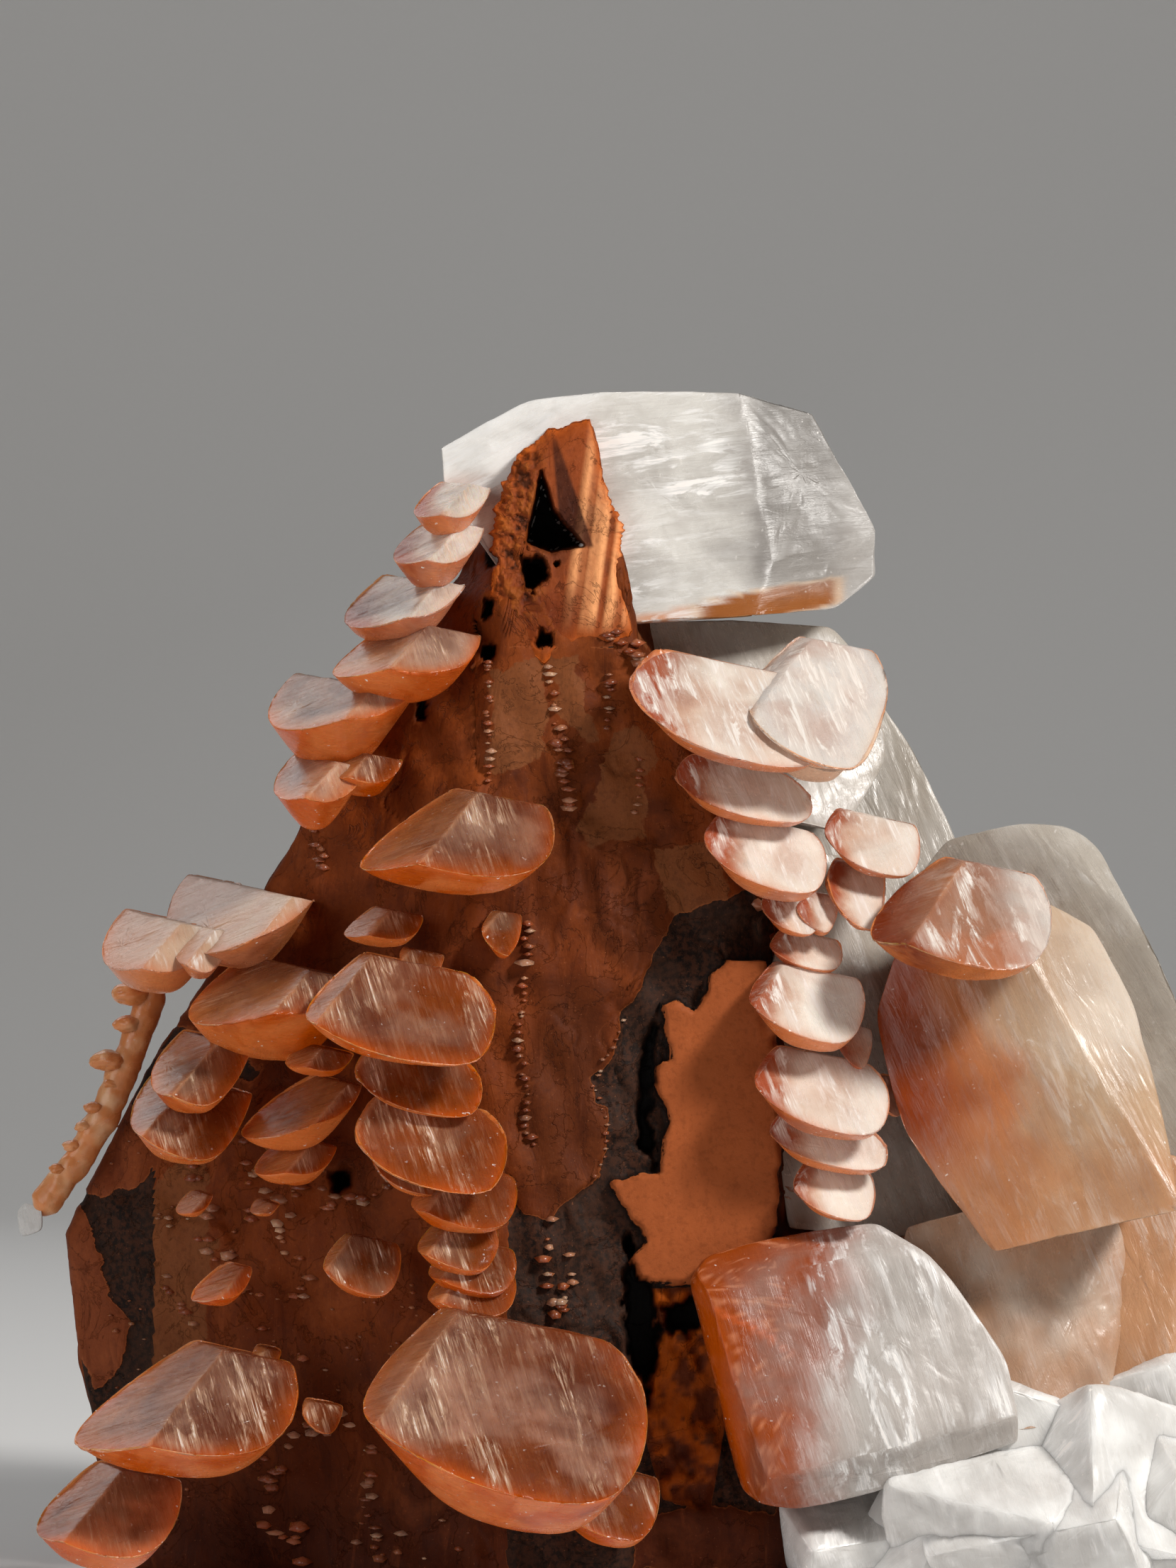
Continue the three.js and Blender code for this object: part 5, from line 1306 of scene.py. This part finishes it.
def calcite(name, silky, glow, see_through, shade, depth, dusk=(0.5, 0.27, 0.17), edge=0.6, painted_glow=0.0,
            spread=(1.0, 0.55, 0.25), plates=0.0, worn=0.6, gloss=0.3):
    """Calcite: ground colour with clouds, silky streaks down the faces that are partly painted sheen, fine
    scratches and small painted glints; some calcites add a painted highlight line at the rim's edge and a
    painted glow.
    """
    bench = Bench(name)
    ground, silk, rim = bench.stored("Ground", "Color"), bench.stored("Silk"), bench.stored("Rim")
    grain = bench.node("UVMap", {"uv_map": "Grain"})
    fine = bench.cloud(1.0, 4.0, 0.7, 0.6, grain, (2.8, 0.15, 1.0))
    hair = bench.cloud(1.0, 3.0, 0.65, 0.3, grain, (9.0, 0.5, 1.0))
    patch = bench.cloud(1.0, 5.0, 0.66, 0.7, grain, (0.75, 0.2, 1.0)).ramp(0.48, 0.56)
    broad = bench.cloud(1.0, 3.0, 0.6, 0.4, grain, (0.9, 0.07, 1.0))
    cloud = bench.cloud(420.0, 5.0, 0.62, 0.6)
    haze = bench.cloud(170.0, 4.0, 0.55, 0.5)
    glint_speck = bench.cloud(2600.0, 2.0, 0.5)
    lines = fine.ramp(0.47, 0.66) * 0.75 + hair.ramp(0.48, 0.70) * 0.5
    streaks = (lines * silk * (0.15 + patch * 1.2) + patch * silk * plates).ramp(0.0, 1.0)
    dark = (1.0 - hair.ramp(0.30, 0.48)) * 0.3 + (1.0 - fine.ramp(0.30, 0.46)) * 0.35
    dark = (dark + (1.0 - cloud.ramp(0.30, 0.52)) * 0.35) * (1.0 - patch * 0.7)
    colour = bench.over(
        ground, ((1.0 - haze.ramp(0.38, 0.60)) * rim.ramp(0.4, 2.2) * depth, shade),
        # The silky streaks are partly pale striations of the crystal, partly painted sheen; the near-white on
        # the strongest of them is a painted highlight.
        (dark * (0.35 + rim.ramp(0.2, 1.2) * 0.65), dusk, "MULTIPLY"), (streaks, silky),
        (streaks.ramp(0.6, 1.0) * patch * 0.7, tone(242, 236, 230)),
        # Painted highlight: a thin peach line right at the rim's edge.
        ((1.0 - rim.ramp(0.02, 0.12)) * edge * haze.ramp(0.44, 0.56), tone(224, 132, 70)),
        # Painted glints: small bright points, more of them near the rim.
        (glint_speck.ramp(0.71, 0.74) * (0.25 + (1.0 - rim.ramp(0.3, 1.5)) * 0.6), GLINT_WHITE))
    rough = 0.24 - streaks * 0.06 + cloud * 0.14 - fine * 0.08
    relief = broad * 0.5 + fine * 0.4 + hair * 0.12 + cloud * 0.4 + patch * 0.12
    normal = bench.node("Bump", {}, {"Strength": worn, "Distance": 0.0002, "Height": relief})
    inputs = {"Base Color": colour, "Roughness": rough, "Normal": normal, "IOR": 1.6,
              "Transmission Weight": see_through, "Subsurface Weight": glow,
              "Subsurface Radius": spread, "Subsurface Scale": 0.0014, "Specular IOR Level": gloss}
    # Painted glow: where Lit is high the colour is also emitted, standing in for light that passes through
    # the crystal from behind.
    if painted_glow:
        lit = bench.stored("Lit") * (0.2 + cloud * 1.1)
        inputs |= {"Emission Color": bench.mix(lit, (0.0, 0.0, 0.0), colour), "Emission Strength": painted_glow}
    bench.finished(inputs)


def film(name):
    """Iron-oxide films: orange over brown, which is dusty tan in places, over a bare granular crust. Each
    film's edge lies where its stored distance, roughened by noise, passes zero. Fine threads, stains and
    pin marks lie on top. Painted shade darkens the crust just outside the orange sheet, and the pits and
    cave."""
    bench = Bench(name)
    ground = bench.stored("Ground", "Color")
    stain = bench.cloud(240.0, 6.0, 0.62, 0.6)
    tooth = bench.cloud(900.0, 4.0, 0.65, 0.8)
    grain = bench.cloud(2400.0, 4.0, 0.65)
    pin = bench.cloud(6000.0, 2.0, 0.5)
    drip = bench.cloud(1.0, 5.0, 0.66, 0.9, None, (520.0, 520.0, 130.0))
    wavy = (tooth - 0.5) * 0.9
    films = bench.stored("Films") * 1.8 + wavy
    sheet = bench.stored("Sheet") + wavy * 0.8
    tan = (bench.stored("Tan") + wavy * 1.2 + (stain - 0.5) * 1.6).ramp(-0.06, 0.06)
    orange = sheet.ramp(-0.03, 0.03)
    bare = 1.0 - orange
    brown = films.ramp(-0.03, 0.03)
    brown = brown + orange * (1.0 - brown)
    thread = (stain - 0.5).math("ABSOLUTE", stain - 0.5).ramp(0.0, 0.010)
    crust = bench.mix(grain.ramp(0.42, 0.58), tone(22, 15, 12), tone(64, 36, 23))
    crust = bench.mix(stain.ramp(0.35, 0.6) * 0.6, crust, tone(52, 34, 25))
    dusty = grain.ramp(0.4, 0.62) * 0.5 + stain.ramp(0.5, 0.7) * 0.3
    dusty = bench.mix(dusty, tone(128, 74, 40), tone(78, 44, 24))
    sheen = bench.over(
        ground, ((1.0 - stain.ramp(0.32, 0.62)) * 0.5, (0.45, 0.32, 0.26), "MULTIPLY"),
        (stain.ramp(0.58, 0.75) * 0.20, tone(158, 88, 50)),
        ((1.0 - drip.ramp(0.38, 0.45)) * 0.35, (0.34, 0.24, 0.20), "MULTIPLY"),
        (drip.ramp(0.58, 0.64) * 0.15, tone(160, 84, 44)), (tan * 0.85, dusty),
        ((1.0 - thread) * tooth.ramp(0.45, 0.6) * 0.5, tone(48, 22, 12)))
    red = bench.mix(stain.ramp(0.35, 0.7) * 0.6, tone(154, 80, 40), tone(130, 66, 32))
    lip = sheet.ramp(-0.03, 0.0) * (1.0 - sheet.ramp(0.08, 0.22))
    lip = lip + brown * (1.0 - films.ramp(0.06, 0.2)) * bare
    colour = bench.over(
        crust, (brown, sheen), (orange, red), (lip * 0.25, tone(186, 108, 62)),
        # Painted shade: a near-black band on the bare crust just outside the orange sheet's edge, at the foot
        # of the raised sheet.
        (sheet.ramp(-0.6, -0.05) * bare * 0.85, tone(16, 13, 12)),
        ((1.0 - grain.ramp(0.36, 0.5)) * 0.22, (0.25, 0.16, 0.13), "MULTIPLY"),
        # Near-black painted shade in the pits and the cave.
        (pin.ramp(0.68, 0.74) * 0.18, tone(190, 120, 80)), (bench.stored("Dark"), tone(14, 11, 10)))
    relief = brown * 0.9 + orange * 0.9 + stain * 0.5 + grain * 0.22 + tooth * 0.3
    relief = relief + drip * bare * 0.75 + thread * bare * 0.35
    normal = bench.node("Bump", {}, {"Strength": 0.7, "Distance": 0.00024, "Height": relief})
    rough = 0.48 + grain * 0.2 + stain * 0.12 - orange * 0.06
    bench.finished({"Base Color": colour, "Roughness": rough, "Normal": normal, "Specular IOR Level": 0.1})


def matte(name, colour, rough):
    """Matte studio ground with a barely seen grain."""
    bench = Bench(name)
    tint = bench.mix(bench.cloud(900.0, 3.0) * 0.06, colour, (0.5, 0.5, 0.5))
    bench.finished({"Base Color": tint, "Roughness": rough})


# The cluster
WARM, PEARL, COOL = tone(218, 184, 154), tone(226, 214, 204), tone(240, 239, 238)
BROWN, ASH = tone(82, 34, 16), tone(150, 144, 138)
NEUTRAL = (0.6, 0.58, 0.55)
calcite("salmon_calcite", WARM, 0.35, 0.25, BROWN, 0.7, painted_glow=0.22)
calcite("amber_calcite", WARM, 0.35, 0.3, BROWN, 0.3, painted_glow=0.2)
calcite("cream_calcite", PEARL, 0.25, 0.15, tone(176, 124, 98), 0.5, (0.86, 0.78, 0.7), painted_glow=0.16,
        spread=(0.72, 0.62, 0.54), plates=0.6)
calcite("white_calcite", COOL, 0.25, 0.15, ASH, 0.4, (0.72, 0.69, 0.68), 0.0,
        spread=NEUTRAL, plates=0.55, worn=0.28, gloss=0.08)
calcite("milky_calcite", COOL, 0.5, 0.0, ASH, 0.15, (0.84, 0.82, 0.81), 0.0, painted_glow=0.16,
        spread=NEUTRAL, plates=0.5, worn=0.3)
calcite("peach_calcite", PEARL, 0.15, 0.12, BROWN, 0.2, (0.82, 0.68, 0.56), 0.1,
        spread=(0.8, 0.6, 0.45), plates=0.3, worn=0.4)
calcite("grey_calcite", COOL, 0.12, 0.3, ASH, 0.3, (0.7, 0.66, 0.64), 0.0,
        spread=NEUTRAL, plates=0.3, worn=0.35)
film("iron_film")
SLOTS = {"amber": "amber_calcite", "peach": "peach_calcite",
         "white": "white_calcite", "snow": "white_calcite", "snow_white": "white_calcite",
         "clear": "grey_calcite", "smoke": "grey_calcite", "grey": "grey_calcite"}
PALE = ("cream", "frost", "veil", "shoulder")


def looks_of(finish):
    """The material of a finish and the record's slot that it belongs to."""
    slot = SLOTS.get(finish, "salmon_calcite")
    return MATERIALS["cream_calcite" if finish in PALE else slot], slot


for number, (group, rows) in enumerate(BLADES.items()):
    shapes = [blade(row, 100 * number + place) for place, row in enumerate(rows)]
    piece(group + "_grown", join(shapes), *looks_of(rows[-1][-1]), group)

# Slopes of the streaks on the right and left caps of a block, as seen.
STEEP_LINES = ((0.35, -0.95), (0.35, -0.95))
LINES = {"summit_crystal": ((0.97, 0.14), (0.88, 0.42)), "lower_right_crystal": ((0.3, -0.95), (0.2, -1.0)),
         "shoulder": ((0.4, -0.92), (0.4, -0.92)), "hump": ((0.5, -0.85), (0.5, -0.85))}
for number, (name, (outline, depth, faces, rear, finish)) in enumerate(BLOCKS.items()):
    seed = 900 + number
    step = 0.15 if name == "rib_tip_crystal" else 0.4
    sharp = 9.0 if name == "summit_crystal" else 4.5
    slope = np.array(LINES.get(name, STEEP_LINES))
    planes = block_planes(outline, depth, faces, rear)
    shape = coloured(*crystal(planes, step, ROUGH, seed, slope, sharp, 1.5), finish, seed)
    if name == "summit_crystal":
        for hole in (CAVE, PITS[0][0]):
            shape.points = hollowed(shape.points, hole, CAVE_BOTTOM + 0.2)[0]
    piece(name + "_grown", shape, *looks_of(finish), name)

for group, boxes in (("foot_crystals", FOOT_BLOCKS), ("rear_foot_crystals", REAR_FOOT_BLOCKS)):
    shapes = []
    for seed, box in enumerate(boxes, 950):
        slope = np.array([(0.3, -0.95), (0.3, -0.95)])
        shape, facts = crystal(box_planes(*box), 0.42, 0.3, seed + len(boxes), slope, 1.4, 2.0)
        shape.points[:, 2] = np.maximum(shape.points[:, 2], 0.0)
        shapes.append(coloured(shape, facts, "snow_white", seed))
    piece(group + "_grown", join(shapes), MATERIALS["milky_calcite"], "white_calcite", group)

wall, wall_grid = wall_shape()
crumbs = join([strung_crumbs(wall_grid), drifted_crumbs(wall_grid)])
rib = [rib_shape(RIB_LINE, 11, 1.25, 41)]
rib += [knob_shape((x, z, 10.4), radius, 50 + k) for k, (x, z, radius) in enumerate(RIB_KNOBS)]
for name, shape, slot, group in (
        ("hematite_wall_grown", wall, "iron_film", "hematite_wall"),
        ("summit_film", film_shape(), "iron_film", None),
        ("left_rib_grown", join(rib), "peach_calcite", "left_rib"),
        ("wall_crumbs", crumbs, "salmon_calcite", None)):
    piece(name, shape, MATERIALS[slot], slot, group)


# Studio
def sweep():
    """Floor and backdrop in one: a profile carried across, flat, then a quarter circle up, then upright."""
    turn = np.linspace(0, np.pi / 2, 24)
    y = np.concatenate([[-1.5], 0.5 + 0.35 * np.sin(turn), [0.85]])
    z = np.concatenate([[0.0], 0.35 - 0.35 * np.cos(turn), [2.2]])
    points = [(x, *place) for place in zip(y.tolist(), z.tolist()) for x in (-2.5, 2.5)]
    quads = [(k, k + 1, k + 3, k + 2) for k in range(0, len(points) - 2, 2)]
    mesh = bpy.data.meshes.new("floor")
    mesh.from_pydata(points, [], quads)
    mesh.polygons.foreach_set("use_smooth", [True] * len(quads))
    mesh.materials.append(MATERIALS["pale_floor"])
    floor = bpy.data.objects.new("floor", mesh)
    bpy.context.collection.objects.link(floor)


def aimed(name, data, place, target):
    """A lamp or camera at a place, turned to a target, in metres."""
    body = bpy.data.objects.new(name, data)
    body.location = place
    body.rotation_euler = (Vector(target) - Vector(place)).to_track_quat("-Z", "Y").to_euler()
    bpy.context.collection.objects.link(body)
    return body


matte("pale_floor", tone(224, 224, 224), 0.8)
sweep()
for name, place, height, size, power, colour in (
        ("key", (0.30, -0.26, 0.34), 0.045, 0.09, 2.7, (1.0, 0.97, 0.93)),
        ("fill", (-0.42, -0.36, 0.16), 0.04, 0.35, 0.9, (1.0, 0.98, 0.96)),
        ("back", (-0.25, 0.30, 0.40), 0.05, 0.35, 0.6, (1.0, 1.0, 1.0))):
    light = bpy.data.lights.new(name, "AREA")
    light.size, light.energy, light.color = size, power, colour
    aimed(name, light, place, (0.0, 0.0, height))
world = bpy.data.worlds.new("studio")
world.use_nodes = True
world.node_tree.nodes["Background"].inputs[0].default_value = (0.86, 0.84, 0.81, 1.0)
world.node_tree.nodes["Background"].inputs[1].default_value = 0.14
bpy.context.scene.world = world
bpy.context.scene.view_settings.view_transform = "Standard"

camera = bpy.data.cameras.new("camera")
camera.sensor_fit = "VERTICAL"
camera.sensor_height = 36.0
camera.lens = camera.sensor_height * float(np.linalg.norm(LOOK_AT - SEEN_FROM)) / VIEW_HEIGHT
camera.clip_start = 0.01
eye, aim = (SEEN_FROM - MIDDLE) * MM, (LOOK_AT - MIDDLE) * MM
bpy.context.scene.camera = aimed("camera", camera, eye, aim)
